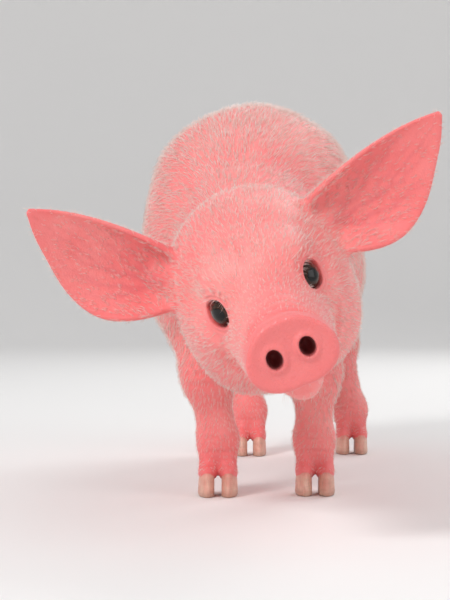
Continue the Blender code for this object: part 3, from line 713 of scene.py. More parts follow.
def refined(points, faces, size, sharpest):
    """Triangles whose edges longer than wanted, or bent and over the sharpest size, are cut in two."""
    edges, which = edges_of(faces)
    ends = points[edges]
    middle, long = ends.mean(1), np.linalg.norm(ends[:, 0] - ends[:, 1], axis=1)
    unit = face_normals(points, faces)[1]
    both = np.stack([np.bincount(which.ravel(), np.repeat(unit[:, k], 3), len(edges)) for k in range(3)], 1)
    bent = np.linalg.norm(both, axis=1) / 2 < SHARP_BEND
    cut = (long > size(middle)) | (bent & (long > sharpest))
    added = np.where(cut, len(points) + np.cumsum(cut) - 1, -1)[which]
    count = (added >= 0).sum(1)
    made = [faces[count == 0]]
    a, b, c = faces[count == 3].T
    ab, bc, ca = added[count == 3].T
    made += [np.stack(three, 1) for three in ((a, ab, ca), (ab, b, bc), (ca, bc, c), (ab, bc, ca))]
    for turn in range(3):
        corner, mid = np.roll(faces, -turn, 1), np.roll(added, -turn, 1)
        one = (count == 1) & (mid[:, 0] >= 0)
        a, b, c, ab = *corner[one].T, mid[one, 0]
        made += [np.stack((a, ab, c), 1), np.stack((ab, b, c), 1)]
        two = (count == 2) & (mid[:, 2] < 0)
        a, b, c, ab, bc = *corner[two].T, mid[two, 0], mid[two, 1]
        made += [np.stack(three, 1) for three in ((ab, b, bc), (a, ab, bc), (a, bc, c))]
    return np.concatenate((points, middle[cut].astype(np.float32))), np.concatenate(made)


def relaxed(points, faces, share):
    """The points moved part of the way to the middle of their neighbours."""
    edges, which = edges_of(faces)
    ends = np.concatenate((edges, edges[:, ::-1]))
    count = np.bincount(ends[:, 0], minlength=len(points))[:, None]
    total = np.stack([np.bincount(ends[:, 0], points[ends[:, 1], k], len(points)) for k in range(3)], 1)
    return (points + share * (total / np.maximum(count, 1) - points)).astype(np.float32)


# Folds of the skin
# Creases where the body bends, each laid over the skin along a line and flanked by a soft rise.

FOLD_REACH, FOLD_STEPS = 0.060, 121
FOLDS = []


def fold(frame, starts, ways, half, depth):
    """A crease where rays from the starts along the ways, both in the frame, first meet the skin."""
    turn = np.array(frame, np.float32)
    starts = np.array(starts, np.float32) @ turn[:3, :3].T + turn[:3, 3]
    ways = np.array(ways, np.float32) @ turn[:3, :3].T
    ways /= np.linalg.norm(ways, axis=1, keepdims=True)
    reach = np.linspace(0, FOLD_REACH, FOLD_STEPS, dtype=np.float32)
    along = starts[:, None] + reach[None, :, None] * ways[:, None]
    inside = hide(along.reshape(-1, 3)).reshape(len(starts), -1) < 0
    met = inside.any(1)
    path = starts[met] + reach[inside.argmax(1)[met]][:, None] * ways[met]
    FOLDS.append((settled(path), half, depth))


def relief(p):
    """How far the folds raise the skin at each point, less than nought in a crease."""
    rise = np.zeros(len(p), np.float32)
    for path, half, depth in FOLDS:
        close = ((p > path.min(0) - 5 * half) & (p < path.max(0) + 5 * half)).all(1)
        near = p[close]
        away, place = np.full(len(near), FAR), np.zeros(len(near))
        for i, (a, b) in enumerate(zip(path, path[1:])):
            along = b - a
            t = np.clip((near - a) @ along / max(along @ along, 1e-12), 0, 1)
            d = length(near - a - t[:, None] * along)
            place = np.where(d < away, (i + t) / (len(path) - 1), place)
            away = np.minimum(d, away)
        fade = np.sqrt(np.clip(4 * place * (1 - place), 0, 1))
        shape = 0.40 * np.exp(-((away / half - 2.3) ** 2)) - np.exp(-((away / half) ** 2))
        rise[close] += depth * fade * shape
    return rise


def arc(first, last, count):
    return np.radians(np.linspace(first, last, count))


# Over the muzzle, just behind the disc
for y, half, depth, spread in (
    (-0.1475, 0.0012, 0.0010, 82), (-0.1405, 0.0013, 0.0009, 74), (-0.1320, 0.0014, 0.0007, 62),
    (-0.1225, 0.0016, 0.0006, 50), (-0.1110, 0.0018, 0.0005, 38),
):
    turn = arc(-spread, spread, 19)
    ways = np.stack((-np.sin(turn), 0 * turn, -np.cos(turn)), 1)
    wave = y + 0.0012 * np.sin(3 * turn) - 0.0030 * turn**2
    fold(HEAD, -0.050 * ways + np.stack((0 * turn, wave, 0 * turn), 1), ways, half, depth)

for side in SIDES:
    # Round the eye: the crease of the upper lid, and two bags below
    eye = HEAD @ eye_frame(side)
    for size, first, last, half, depth in (
        (0.0128, 20, 165, 0.0010, 0.0009), (0.0165, 35, 150, 0.0013, 0.0005),
        (0.0130, 198, 345, 0.0010, 0.0007), (0.0162, 205, 335, 0.0013, 0.0006),
        (0.0200, 215, 320, 0.0016, 0.0004),
    ):
        turn = arc(first, last, 15)
        starts = np.stack((size * np.cos(turn), size * 0.86 * np.sin(turn), 0 * turn + 0.030), 1)
        fold(eye, starts, [(0, 0, -1)] * len(turn), half, depth)
    # Brow, cheek and the corner of the mouth
    for x, y_first, y_last, depth in ((0.004, -0.088, -0.060, 0.0005), (0.010, -0.080, -0.058, 0.0004)):
        y = np.linspace(y_first, y_last, 8)
        starts = np.stack((side * (x + 0.05 * (y - y_first)), y, 0 * y + 0.075), 1)
        fold(HEAD, starts, [(0, 0, -1)] * 8, 0.0015, depth)
    for y, z_first, z_last, half, depth in (
        (-0.0855, -0.012, -0.029, 0.0013, 0.0011), (-0.0790, -0.010, -0.034, 0.0018, 0.0007),
        (-0.0140, 0.010, -0.040, 0.0040, 0.0012),
    ):
        z = np.linspace(z_first, z_last, 9)
        bow = 0.20 * (z - z_first) * (z_last - z) / abs(z_last - z_first)
        starts = np.stack((0 * z + side * 0.075, y + bow, z), 1)
        fold(HEAD, starts, [(-side, 0, 0)] * 9, half, depth)
    # The throat's rolls, where the lowered head meets the neck
    for y, half, depth in ((0.010, 0.0038, 0.0016), (0.028, 0.0045, 0.0014)):
        turn = arc(75, 175, 15)
        ways = np.stack((-side * np.sin(turn), 0 * turn, -np.cos(turn)), 1)
        starts = -0.075 * ways + np.stack((0 * turn, y + 0.004 * np.cos(turn), 0 * turn), 1)
        fold(HEAD, starts, ways, half, depth)
    # Behind the elbow and before the stifle
    for y, z_first, z_last, lean, half, depth in (
        (0.052, 0.128, 0.185, 0.25, 0.0040, 0.0016), (0.064, 0.132, 0.165, 0.20, 0.0036, 0.0009),
        (0.198, 0.132, 0.190, 0.30, 0.0045, 0.0016), (0.183, 0.130, 0.162, 0.30, 0.0036, 0.0008),
    ):
        z = np.linspace(z_first, z_last, 9)
        starts = np.stack((0 * z + side * 0.095, y + lean * (z - z_first), z), 1)
        fold(BODY, starts, [(-side, 0, 0)] * 9, half, depth)

# Across the knees, hocks and pasterns
for feet, kind in ((FRONT_FEET, "front"), (HIND_FEET, "hind")):
    for side, foot in feet.items():
        joint = front_knee(side) if kind == "front" else hind_hock(side)
        fetlock = fetlock_of(foot, kind)
        for middle, rise, half, depth, facing in (
            (joint, 0.006, 0.0013, 0.0005, -1), (joint, 0.000, 0.0013, 0.0006, -1),
            (joint, -0.007, 0.0013, 0.0005, -1), (joint, 0.002, 0.0014, 0.0006, 1),
            (fetlock, 0.003, 0.0013, 0.0003, -1), (fetlock, -0.007, 0.0012, 0.0004, -1),
            (fetlock, 0.013, 0.0013, 0.0004, 1),
        ):
            turn = arc(-52, 52, 11)
            ways = np.stack((-np.sin(turn), -facing * np.cos(turn), 0 * turn), 1)
            starts = np.array(middle + Vector((0, 0, rise))) - 0.035 * ways
            fold(Matrix.Identity(4), starts, ways, half, depth)

SHARP_BEND = math.cos(math.radians(11))
FINE_EDGE, EYE_EDGE, SNOUT_EDGE, EAR_EDGE, WIDE_EDGE = 0.0010, 0.0010, 0.0013, 0.0024, 0.0075
FOLD_EDGE_SHARE, FOLD_ZONE_SHARE = 1.0, 2.9
EYE_ZONE, SNOUT_ZONE = 0.019, 0.036
eye_places = [(HEAD @ eye_frame(side)).translation for side in SIDES]
disc_place = (HEAD @ DISC).translation
fold_tree = KDTree(sum(len(path) for path, half, depth in FOLDS))
fold_halves = []
for path, half, depth in FOLDS:
    for point in path:
        fold_tree.insert(point, len(fold_halves))
        fold_halves.append(half)
fold_tree.balance()


def wanted_edge(p):
    """How long the skin's edges may be: short in the face, along folds and on the ears."""
    size = np.full(len(p), WIDE_EDGE)
    for side in SIDES:
        low, high = ear_reach(side)
        size[((p > np.array(low) - 0.004) & (p < np.array(high) + 0.004)).all(1)] = EAR_EDGE
    found = [fold_tree.find(point)[1:] for point in p]
    half = np.array([fold_halves[index] for index, away in found])
    near = np.array([away for index, away in found]) < FOLD_ZONE_SHARE * half
    size[near] = np.minimum(size, FOLD_EDGE_SHARE * half)[near]
    near = length(p - np.array(disc_place, np.float32)) < SNOUT_ZONE
    size[near] = np.minimum(size, SNOUT_EDGE)[near]
    for place in eye_places:
        size[length(p - np.array(place, np.float32)) < EYE_ZONE] = EYE_EDGE
    return size


for round_of_cuts in range(2):
    points, faces = refined(points, faces, wanted_edge, FINE_EDGE)
    points = settled(relaxed(points, faces, 0.4))
points = settled(relaxed(points, faces, 0.3))
normals = point_normals(points, faces)
points += normals * relief(points)[:, None]


def mesh_of(name, points, faces):
    """A mesh from arrays of points and of triangles."""
    mesh = bpy.data.meshes.new(name)
    mesh.vertices.add(len(points))
    mesh.loops.add(len(faces) * 3)
    mesh.polygons.add(len(faces))
    mesh.vertices.foreach_set("co", points.astype(np.float32).ravel())
    mesh.loops.foreach_set("vertex_index", faces.astype(np.int32).ravel())
    mesh.polygons.foreach_set("loop_start", np.arange(len(faces), dtype=np.int32) * 3)
    mesh.update(calc_edges=True)
    mesh.validate()
    return mesh


# Marks on the skin
# How red, wet or veined each point is, where shade is painted on, and which way and how long its hairs lie.

def bump(x, width):
    """One at nought, and falling off either way like a bell."""
    return np.exp(-((x / width) ** 2))


def ramp(x, start, end):
    """Nought up to the start and one from the end on; the end may be the lower of the two."""
    return np.clip((x - start) / (end - start), 0, 1)


def ear_place(p, side):
    """Where points lie on an ear: along it, across it from -1 to 1, and whether in the cup."""
    q = into(p, ear_frame(side))
    t, v, cup = (np.empty(len(p)) for k in range(3))
    for i, point in enumerate(q):
        near, normal, face, away = EAR_TREE.find_nearest(point)
        t[i] = near.x / EAR_LENGTH
        v[i] = 2 * (face % (EAR_COLUMNS - 1) + 0.5) / (EAR_COLUMNS - 1) - 1
        cup[i] = (Vector(point) - near).dot(normal) * (1 if normal.z > 0 else -1) > 0
    return t, v, cup


VEINS = (
    # Along and across at the start, along and across at the end, strength
    (0.10, 0.05, 0.97, 0.02, 1.0), (0.16, 0.02, 0.78, -0.72, 0.8), (0.14, 0.10, 0.74, 0.66, 0.9),
    (0.36, 0.02, 0.86, -0.38, 0.6), (0.44, 0.05, 0.88, 0.40, 0.7), (0.26, 0.32, 0.58, 0.86, 0.6),
    (0.28, -0.24, 0.60, -0.86, 0.6), (0.50, 0.36, 0.72, 0.84, 0.5), (0.56, -0.40, 0.72, -0.78, 0.4),
)
VEIN_HALF, EAR_HALF_WIDTH = 0.0013, 0.030


def veins(t, v):
    """Branching vessels under the ear's skin."""
    found = np.zeros(len(t))
    half_width = EAR_HALF_WIDTH * np.sqrt(np.clip(1 - t * t, 0.02, 1))
    for k, (t_first, v_first, t_last, v_last, strength) in enumerate(VEINS):
        s = ramp(t, t_first, t_last)
        line = v_first + (v_last - v_first) * s + 0.035 * np.sin(17 * s + 2 * k) + 0.02 * np.sin(41 * s + k)
        slant = np.hypot(1, (v_last - v_first) * half_width / ((t_last - t_first) * EAR_LENGTH))
        away = np.hypot((v - line) * half_width / slant, (t - t_first - (t_last - t_first) * s) * EAR_LENGTH)
        found = np.maximum(found, strength * (1 - 0.6 * s) * bump(away, VEIN_HALF * (1.3 - 0.6 * s)))
    return found


def tangent_to(ways, normals):
    flat = ways - (ways * normals).sum(1, keepdims=True) * normals
    return flat / np.maximum(np.linalg.norm(flat, axis=1, keepdims=True), 1e-6)


def turned(frame, way):
    return np.array(frame.to_3x3() @ Vector(way), np.float32)


# Each form's distance from the points, and the way its hair lies
in_head, in_body = into(points, HEAD), into(points, BODY)
in_disc = into(in_head, DISC)
forms = {
    "trunk": (torso(points), turned(BODY, (0, 1, -0.20))),
    "neck": (neck(points), turned(BODY, (0, 1, -0.15))),
    "head": (head(points), turned(HEAD, (0, 1, 0.05))),
    "tail": (tail(points), turned(BODY, (0, 1, -0.4))),
}
for side in SIDES:
    forms[f"front {side}"] = (front_leg(points, side), (0.0, 0.25, -1))
    forms[f"hind {side}"] = (hind_leg(points, side), (0.0, 0.35, -1))
away = np.stack([distance for distance, way in forms.values()], 1)
share = np.exp(-(away - away.min(1, keepdims=True)) / 0.007)
share /= share.sum(1, keepdims=True)
part = {name: share[:, k] for k, name in enumerate(forms)}
on_leg = sum(part[name] for name in forms if name.startswith(("front", "hind")))
lie = sum(part[name][:, None] * np.array(forms[name][1], np.float32) for name in forms)
lie += (part["trunk"] * ramp(np.abs(in_body[:, 0]), 0, 0.06) * 0.6)[:, None] * np.array((0, 0, -1))
lie += (part["head"] * ramp(in_head[:, 2], 0.02, -0.03))[:, None] * turned(HEAD, (0, 0.2, -0.7))

HAIR_LENGTHS = {"trunk": 0.0085, "neck": 0.0080, "head": 0.0050, "tail": 0.0065}
LEG_HAIR, THIGH_MORE, BACK_MORE, MUZZLE_LESS = 0.0035, 0.0035, 0.0040, 0.0022
CUP_HAIR, CUP_TIP_LESS, EAR_BACK_HAIR = 0.0058, 0.0028, 0.0042
hair = sum(size * part[name] for name, size in HAIR_LENGTHS.items())
hair += on_leg * (LEG_HAIR + THIGH_MORE * ramp(points[:, 2], 0.03, 0.13))
hair += part["trunk"] * BACK_MORE * ramp(in_body[:, 2], 0.21, 0.27)
hair -= part["head"] * MUZZLE_LESS * ramp(in_head[:, 1], -0.085, -0.135)

flush, wet, vein, dark, ear_share = (np.zeros(len(points)) for k in range(5))
growth = np.ones(len(points))


def deepen(mark, by, where=slice(None)):
    """The mark made at least this strong, at the points given or at all."""
    mark[where] = np.maximum(mark[where], by)


for side in SIDES:
    # The ear: veins, a red rim and tip, thin hair in the cup
    low, high = ear_reach(side)
    close = np.flatnonzero(((points > np.array(low) - 0.004) & (points < np.array(high) + 0.004)).all(1))
    t, v, cup = ear_place(points[close], side)
    on_ear = ramp(t, 0.10, 0.22) * (np.abs(ear(points[close], side)) < 0.003)
    deepen(ear_share, on_ear, close)
    deepen(vein, on_ear * veins(t, v) * np.where(cup, 0.55, 1.0), close)
    red = 0.20 + 0.24 * cup * bump(t - 0.25, 0.30)
    red += 0.16 * bump(np.abs(v) - 1, 0.14) + 0.16 * bump(t - 1, 0.12)
    deepen(flush, on_ear * red, close)
    out, across = (turned(ear_frame(side), way) for way in ((1, 0, 0), (0, 1, 0)))
    lie[close] += (3 * on_ear)[:, None] * (out + 0.5 * v[:, None] * across)
    length_there = np.where(cup, CUP_HAIR - CUP_TIP_LESS * t, EAR_BACK_HAIR)
    hair[close] = hair[close] * (1 - on_ear) + on_ear * length_there
    growth[close] *= 1 - on_ear * np.where(cup, 0.35 + 0.40 * np.clip(t, 0, 1), 0.10)
    # The eye: a red and wet rim, round which the hair parts
    eye = into(in_head, eye_frame(side))
    ring = np.hypot(eye[:, 0] / LID_HALF_LENGTH, eye[:, 1] / LID_HALF_OPENING) * (eye[:, 2] > 0)
    beside = (length(eye) < 0.020) & (eye[:, 2] > 0)
    deepen(flush, beside * (0.42 * bump(ring - 1.0, 0.20) + 0.18 * bump(ring - 1.4, 0.6)))
    deepen(wet, beside * bump(ring - 0.95, 0.16))
    growth *= 1 - beside * ramp(ring, 1.45, 1.20)
    slit, up = (turned(HEAD @ eye_frame(side), way) for way in ((1, 0, 0), (0, 1, 0)))
    outward = slit * (eye[:, :1] * 60) + up * (eye[:, 1:2] * 60)
    lie += (2 * beside * ramp(ring, 2.4, 1.4))[:, None] * outward
    # The nostril: a flushed rim, and painted shade in its depth
    x, y, z = NOSTRIL_AT
    from_hole = (in_disc[:, 0] - side * x) / NOSTRIL_HALF_WIDTH, (in_disc[:, 2] - z) / NOSTRIL_HALF_HEIGHT
    hole = np.hypot(*from_hole)
    in_hole = (np.abs(in_disc[:, 1]) < 0.020) * (length(in_disc) < 0.030)
    deepen(dark, in_hole * ramp(in_disc[:, 1], y - 0.0015, y + 0.0055) * (hole < 1.25))
    deepen(flush, in_hole * 0.9 * bump(hole - 0.9, 0.45))

# The disc, bare and wet
disc_reach = np.hypot(in_disc[:, 0] / DISC_HALF_WIDTH, in_disc[:, 2] / DISC_HALF_HEIGHT)
nose = ramp(in_disc[:, 1], 0.0005, -0.0025) * ramp(disc_reach, 1.12, 1.04) * (in_disc[:, 1] > -0.02)
deepen(wet, 0.75 * nose)
deepen(flush, 0.42 * nose + 0.30 * bump(disc_reach - 1.0, 0.25) * (np.abs(in_disc[:, 1]) < 0.010))
growth *= 1 - ramp(disc_reach, 1.25, 1.15) * (np.abs(in_disc[:, 1]) < 0.0085)
# The lips, with painted shade along the line where they meet
off_mouth = np.abs(in_head[:, 2] - flow(in_head[:, 1], MOUTH_Y, MOUTH_Z))
at_mouth = part["head"] * ramp(in_head[:, 1], -0.082, -0.088) * (in_head[:, 1] > -0.153)
deepen(flush, at_mouth * (0.80 * bump(off_mouth, 0.0016) + 0.30 * bump(off_mouth, 0.006)))
deepen(dark, at_mouth * 0.85 * bump(off_mouth, 0.0008))
growth *= 1 - at_mouth * bump(off_mouth, 0.0035)
# Muzzle, tail and belly
deepen(flush, 0.30 * part["head"] * bump(in_head[:, 1] + 0.150, 0.016))
deepen(flush, 0.24 * part["tail"])
deepen(flush, 0.34 * part["trunk"] * ramp(in_body[:, 2], 0.150, 0.115))
growth *= 1 - 0.45 * part["trunk"] * ramp(in_body[:, 2], 0.140, 0.110)
# Knees, hocks and the edge over the hooves
for side in SIDES:
    for joint, size in ((front_knee(side), 0.018), (hind_hock(side), 0.020)):
        deepen(flush, 0.40 * bump(length(points - np.array(joint, np.float32)), size * 1.3))
    for foot in (FRONT_FEET[side], HIND_FEET[side]):
        x, y, z = (points - np.array(foot, np.float32)).T
        near_foot = np.hypot(x, y) < 0.030
        deepen(flush, near_foot * (0.55 * bump(z - 0.016, 0.012) + 0.3 * bump(z - 0.032, 0.014)))
        growth *= 1 - near_foot * ramp(z, 0.019, 0.016)
for teat in TEATS:
    off = length(in_body - np.array(teat, np.float32))
    deepen(flush, 0.75 * bump(off, 0.005))
    growth *= 1 - bump(off, 0.004)
# Painted shade: the folds' creases are tinted redder the deeper they are, on top of the real flush
flush = np.clip(flush + 0.25 * ramp(-relief(points), 0, 0.0009), 0, 1)
lie = tangent_to(lie, normals).astype(np.float32)


def write(mesh, name, kind, values, domain="POINT"):
    """The values as an attribute of the mesh."""
    whole = np.int32 if kind == "INT" else np.float32
    field = "value" if kind in ("INT", "FLOAT") else "vector"
    mesh.attributes.new(name, kind, domain).data.foreach_set(field, np.array(values, whole).ravel())


skin.data = mesh_of("skin", points, faces)
faces = numbers(skin.data.loops, "vertex_index", 1, np.int32).reshape(-1, 3)
skin.data.shade_smooth()
MARKS = {
    "flush": flush, "wet": wet, "nose": nose, "vein": vein, "dark": dark, "hair": hair, "growth": growth,
}
for name, marked in MARKS.items():
    write(skin.data, name, "FLOAT", marked)
write(skin.data, "lie", "FLOAT_VECTOR", lie)

# The unwrap of the skin's own shape, which the coat's patches take their places from
skin.data.uv_layers.new(name="OFBake")
bpy.context.view_layer.objects.active = skin
skin.select_set(True)
bpy.ops.object.mode_set(mode="EDIT")
bpy.ops.mesh.select_all(action="SELECT")
bpy.ops.uv.smart_project(angle_limit=1.15, island_margin=0.003, scale_to_bounds=True)
bpy.ops.object.mode_set(mode="OBJECT")
skin.select_set(False)


class Shader:
    """A material's node tree, to which nodes are added by kind with their settings and inputs."""

    def __init__(self, name):
        self.material = bpy.data.materials.new(name)
        self.material.use_nodes = True
        self.tree = self.material.node_tree
        self.surface = self.tree.nodes["Principled BSDF"]

    def add(self, kind, inputs=None, **settings):
        node = self.tree.nodes.new("ShaderNode" + kind)
        for key, value in settings.items():
            setattr(node, key, value)
        for key, value in (inputs or {}).items():
            self.set(node.inputs[key], value)
        return node

    def set(self, socket, value):
        if isinstance(value, bpy.types.NodeSocket):
            self.tree.links.new(value, socket)
        else:
            socket.default_value = value

    def dress(self, inputs):
        """The surface given these inputs, each a value or another node's output."""
        for key, value in inputs.items():
            self.set(self.surface.inputs[key], value)

    def place(self):
        return self.add("TexCoord").outputs["Object"]

    def mark(self, name):
        return self.add("Attribute", attribute_name=name).outputs["Fac"]

    def noise(self, scale, detail=3.0, roughness=0.5, place=None):
        place = place or self.place()
        inputs = {"Vector": place, "Scale": scale, "Detail": detail, "Roughness": roughness}
        return self.add("TexNoise", inputs).outputs["Fac"]

    def spread(self, value, low, high, out_low=0.0, out_high=1.0):
        """The value's range from low to high, drawn out to another range and cut off there."""
        inputs = {"Value": value, "From Min": low, "From Max": high, "To Min": out_low, "To Max": out_high}
        return self.add("MapRange", inputs).outputs["Result"]

    def mix(self, share, a, b):
        return self.add("Mix", {0: share, 6: a, 7: b}, data_type="RGBA").outputs[2]

    def tinted(self, colour, value, low, high, most, tint):
        """The colour, mixed with the tint by up to the most as the value goes from low to high."""
        return self.mix(self.spread(value, low, high, 0, most), colour, tint)

    def maths(self, operation, a, b):
        return self.add("Math", {0: a, 1: b}, operation=operation).outputs[0]

    def bump(self, height, distance, strength=1.0, below=None):
        inputs = {"Height": height, "Distance": distance, "Strength": strength}
        if below is not None:
            inputs["Normal"] = below
        return self.add("Bump", inputs).outputs["Normal"]


# The deepest red below is painted shade, for the nostrils' depths and the line of the mouth
PINK, PALE_PINK, WARM_PINK = (0.93, 0.250, 0.245, 1), (0.95, 0.335, 0.315, 1), (0.86, 0.175, 0.175, 1)
BLOOD_PINK, VEIN_RED, PAINTED_SHADE_RED = (0.80, 0.115, 0.125, 1), (0.46, 0.060, 0.105, 1), (0.16, 0.012, 0.012, 1)
NOSE_PINK = (0.88, 0.230, 0.225, 1)
CELLS_A_METRE, PITS_A_METRE = 620.0, 900.0

hide_finish = f = Shader("skin")
colour = f.mix(f.spread(f.noise(13, 2), 0.38, 0.66), PINK, PALE_PINK)
colour = f.tinted(colour, f.noise(55), 0.42, 0.78, 0.50, WARM_PINK)
colour = f.tinted(colour, f.noise(420, 3, 0.6), 0.52, 0.70, 0.30, WARM_PINK)
# The flush also holds painted shade in the folds' creases; the darkest mark is painted shade, deep in the
# nostrils and along the mouth
for name, most, tint in (
    ("flush", 0.85, BLOOD_PINK), ("nose", 0.55, NOSE_PINK),
    ("vein", 0.62, VEIN_RED), ("dark", 0.96, PAINTED_SHADE_RED),
):
    colour = f.tinted(colour, f.mark(name), 0, 1, most, tint)
cells = f.add("TexVoronoi", {"Vector": f.place(), "Scale": CELLS_A_METRE}, feature="DISTANCE_TO_EDGE")
pits = f.add("TexVoronoi", {"Vector": f.place(), "Scale": PITS_A_METRE}, feature="F1")
fine = f.bump(f.spread(cells.outputs["Distance"], 0.0, 0.25), 0.00010, 0.55)
fine = f.bump(f.maths("MULTIPLY", pits.outputs["Distance"], f.mark("nose")), 0.00030, 0.9, fine)
fine = f.bump(f.noise(240, 4, 0.6), 0.00045, 0.60, fine)
dry = f.spread(f.noise(160), 0.3, 0.7, 0.46, 0.62)
f.dress({
    "Base Color": colour,
    "Roughness": f.maths("SUBTRACT", dry, f.spread(f.mark("wet"), 0, 1, 0, 0.26)),
    "Normal": f.bump(f.mark("vein"), 0.00050, 0.8, fine),
    "Subsurface Weight": 0.22, "Subsurface Radius": (1.0, 0.30, 0.18), "Subsurface Scale": 0.0045,
    "IOR": 1.42, "Sheen Weight": 0.12, "Sheen Roughness": 0.45,
})
skin.data.materials.append(hide_finish.material)
flesh_nodes = [name for name in nodes if not name.startswith("eye_") and not name.endswith("claw")]
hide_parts(*flesh_nodes)
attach(skin, "root")


# Eyes
# Each is a wet dark globe: a wide black pupil in a dark brown iris, which fills nearly all that the lids
# leave open, and a thin rim of white.

IRIS_RADIUS, PUPIL_HALF_LENGTH, PUPIL_HALF_HEIGHT, CORNEA_RISE = 0.0080, 0.0046, 0.0037, 0.0005
GLOBE_AROUND, GLOBE_RINGS, GLOBE_RADIUS = 96, 48, EYE_RADIUS + 0.0005
IRIS_DARK, IRIS_BROWN = (0.016, 0.006, 0.004, 1), (0.062, 0.025, 0.011, 1)
IRIS_RIM, PUPIL_BLACK = (0.012, 0.006, 0.005, 1), (0.0025, 0.0020, 0.0020, 1)
EYE_WHITE, EYE_RED = (0.66, 0.50, 0.46, 1), (0.55, 0.16, 0.14, 1)
SIDE_NAMES = {LEFT: "left", RIGHT: "right"}


def stacked(rings):
    """The points and triangles of a closed skin over rings of equal count, facing out."""
    rings = np.array(rings, np.float32)
    rows, count = rings.shape[:2]
    points = np.concatenate((rings.reshape(-1, 3), rings[:1].mean(1), rings[-1:].mean(1)))
    row, place = (grid.ravel() for grid in np.meshgrid(np.arange(rows - 1), np.arange(count), indexing="ij"))
    a, b = row * count + place, row * count + (place + 1) % count
    here, after = np.arange(count), (np.arange(count) + 1) % count
    first, last = np.full(count, rows * count), np.full(count, rows * count + 1)
    end = (rows - 1) * count
    faces = np.concatenate([np.stack(three, 1) for three in (
        (a, b, b + count), (a, b + count, a + count), (first, after, here), (last, end + here, end + after),
    )])
    p, q, r = (points[faces[:, k]] for k in range(3))
    return points, faces if (p * np.cross(q, r)).sum() > 0 else faces[:, ::-1]


def smooth_piece(name, mesh, finish, slot, *replaced):
    """A finished piece on the scene, which takes the place of the solids named."""
    mesh.shade_smooth()
    mesh.materials.append(finish)
    piece = shown(name, mesh)
    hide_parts(*replaced)
    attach(piece, "root")


eye_finish = f = Shader("eye")
fibre = f.add("Attribute", attribute_name="fibre").outputs["Vector"]
brown = f.mix(f.spread(f.noise(3.2, 4, 0.6, fibre), 0.35, 0.68), IRIS_DARK, IRIS_BROWN)
brown = f.mix(f.spread(f.mark("off_axis"), 0.80, 0.98), brown, IRIS_RIM)
white = f.mix(f.spread(f.noise(500, 4, 0.65), 0.45, 0.70), EYE_WHITE, EYE_RED)
seen = f.mix(f.spread(f.mark("off_axis"), 0.99, 1.06), brown, white)
f.dress({
    "Base Color": f.mix(f.spread(f.mark("pupil"), 0.95, 1.06), PUPIL_BLACK, seen),
    "Roughness": 0.20, "Specular IOR Level": 0.05,
    "Coat Weight": 1.0, "Coat Roughness": 0.02, "Coat IOR": 1.376,
})

for side in SIDES:
    polar = np.linspace(math.radians(2), math.radians(178), GLOBE_RINGS)
    around = np.linspace(0, 2 * math.pi, GLOBE_AROUND, endpoint=False)
    dome = np.clip(1 - (GLOBE_RADIUS * np.sin(polar) / (1.1 * IRIS_RADIUS)) ** 2, 0, 1)
    size = GLOBE_RADIUS + CORNEA_RISE * (np.cos(polar) > 0) * dome
    wide, deep = (size * np.sin(polar))[:, None], (size * np.cos(polar))[:, None]
    rings = np.stack((wide * np.cos(around), wide * np.sin(around), np.repeat(deep, GLOBE_AROUND, 1)), 2)
    globe_points, globe_faces = stacked(rings)
    x, y, z = globe_points.T
    beyond = np.where(z > 0, np.hypot(x, y), 2 * EYE_RADIUS)
    turn = np.arctan2(y, x)
    place = np.array(HEAD @ eye_frame(side), np.float32)
    if np.linalg.det(place[:3, :3]) < 0:
        globe_faces = globe_faces[:, ::-1]
    mesh = mesh_of("eye", globe_points @ place[:3, :3].T + place[:3, 3], globe_faces)
    write(mesh, "off_axis", "FLOAT", beyond / IRIS_RADIUS)
    write(mesh, "pupil", "FLOAT", np.hypot(x / PUPIL_HALF_LENGTH, y / PUPIL_HALF_HEIGHT) + 9 * (z < 0))
    write(mesh, "fibre", "FLOAT_VECTOR", np.stack((2.2 * np.cos(turn), 2.2 * np.sin(turn), 60 * beyond), 1))
    smooth_piece("globe_" + SIDE_NAMES[side], mesh, eye_finish.material, "eye", "eye_" + SIDE_NAMES[side])


# Claws
# Two hooves of pale horn to each foot, with faint growth rings, and two small dewclaws behind.

CLAW_AROUND, CLAW_ROWS, RING_COUNT, RING_RISE = 56, 26, 6, 0.010
CLAW_PROFILE, CLAW_SCALE, TOE_SLOPE = (0, 0.09, 0.5, 0.8, 1), (0.945, 1.0, 0.985, 0.96, 0.91), 0.0022
TOE_NARROWING, INNER_FLAT = 0.34, 0.68
DEW_PROFILE, DEW_SCALE = (0, 0.45, 0.8, 0.95, 1), (1.0, 0.95, 0.66, 0.36, 0.16)
DEW_AROUND, DEW_ROWS, DEW_OUT, DEW_SHORTER = 28, 16, 0.0003, 0.0015
HOOF_PALE, HOOF_WARM, HOOF_DARK = (0.80, 0.50, 0.39, 1), (0.72, 0.33, 0.26, 1), (0.42, 0.25, 0.18, 1)


def claw_rings(foot, side):
    """Rings round one half of a cloven hoof, from its flat sole to its upper edge, which turns in."""
    turn = np.linspace(0, 2 * math.pi, CLAW_AROUND, endpoint=False)
    toeward = 0.5 + 0.5 * np.cos(turn)
    rings = []
    for s in np.arange(CLAW_ROWS) / (CLAW_ROWS - 1):
        scale = flow_at(s, CLAW_PROFILE, CLAW_SCALE)
        scale += RING_RISE * math.sin(2 * math.pi * RING_COUNT * s) * min(1, 4 * s) * (1 - s)
        y = -np.cos(turn) * CLAW_LENGTH / 2 * scale + TOE_SLOPE * s * toeward - CLAW_FORWARD
        x = np.sin(turn) * CLAW_WIDTH / 2 * scale * (1 - TOE_NARROWING * toeward**2)
        x = np.maximum(x, -INNER_FLAT * CLAW_WIDTH / 2)
        rings.append(np.stack((foot.x + side * (CLAW_SPREAD + x), foot.y + y, s * coronet(y)), 1))
    upper, middle = rings[-1], rings[-1].mean(0)
    for shrink, drop in ((0.90, 0.0002), (0.72, 0.0016)):
        rings.append(middle + (upper - middle) * (shrink, shrink, 1) - (0, 0, drop))
    return rings


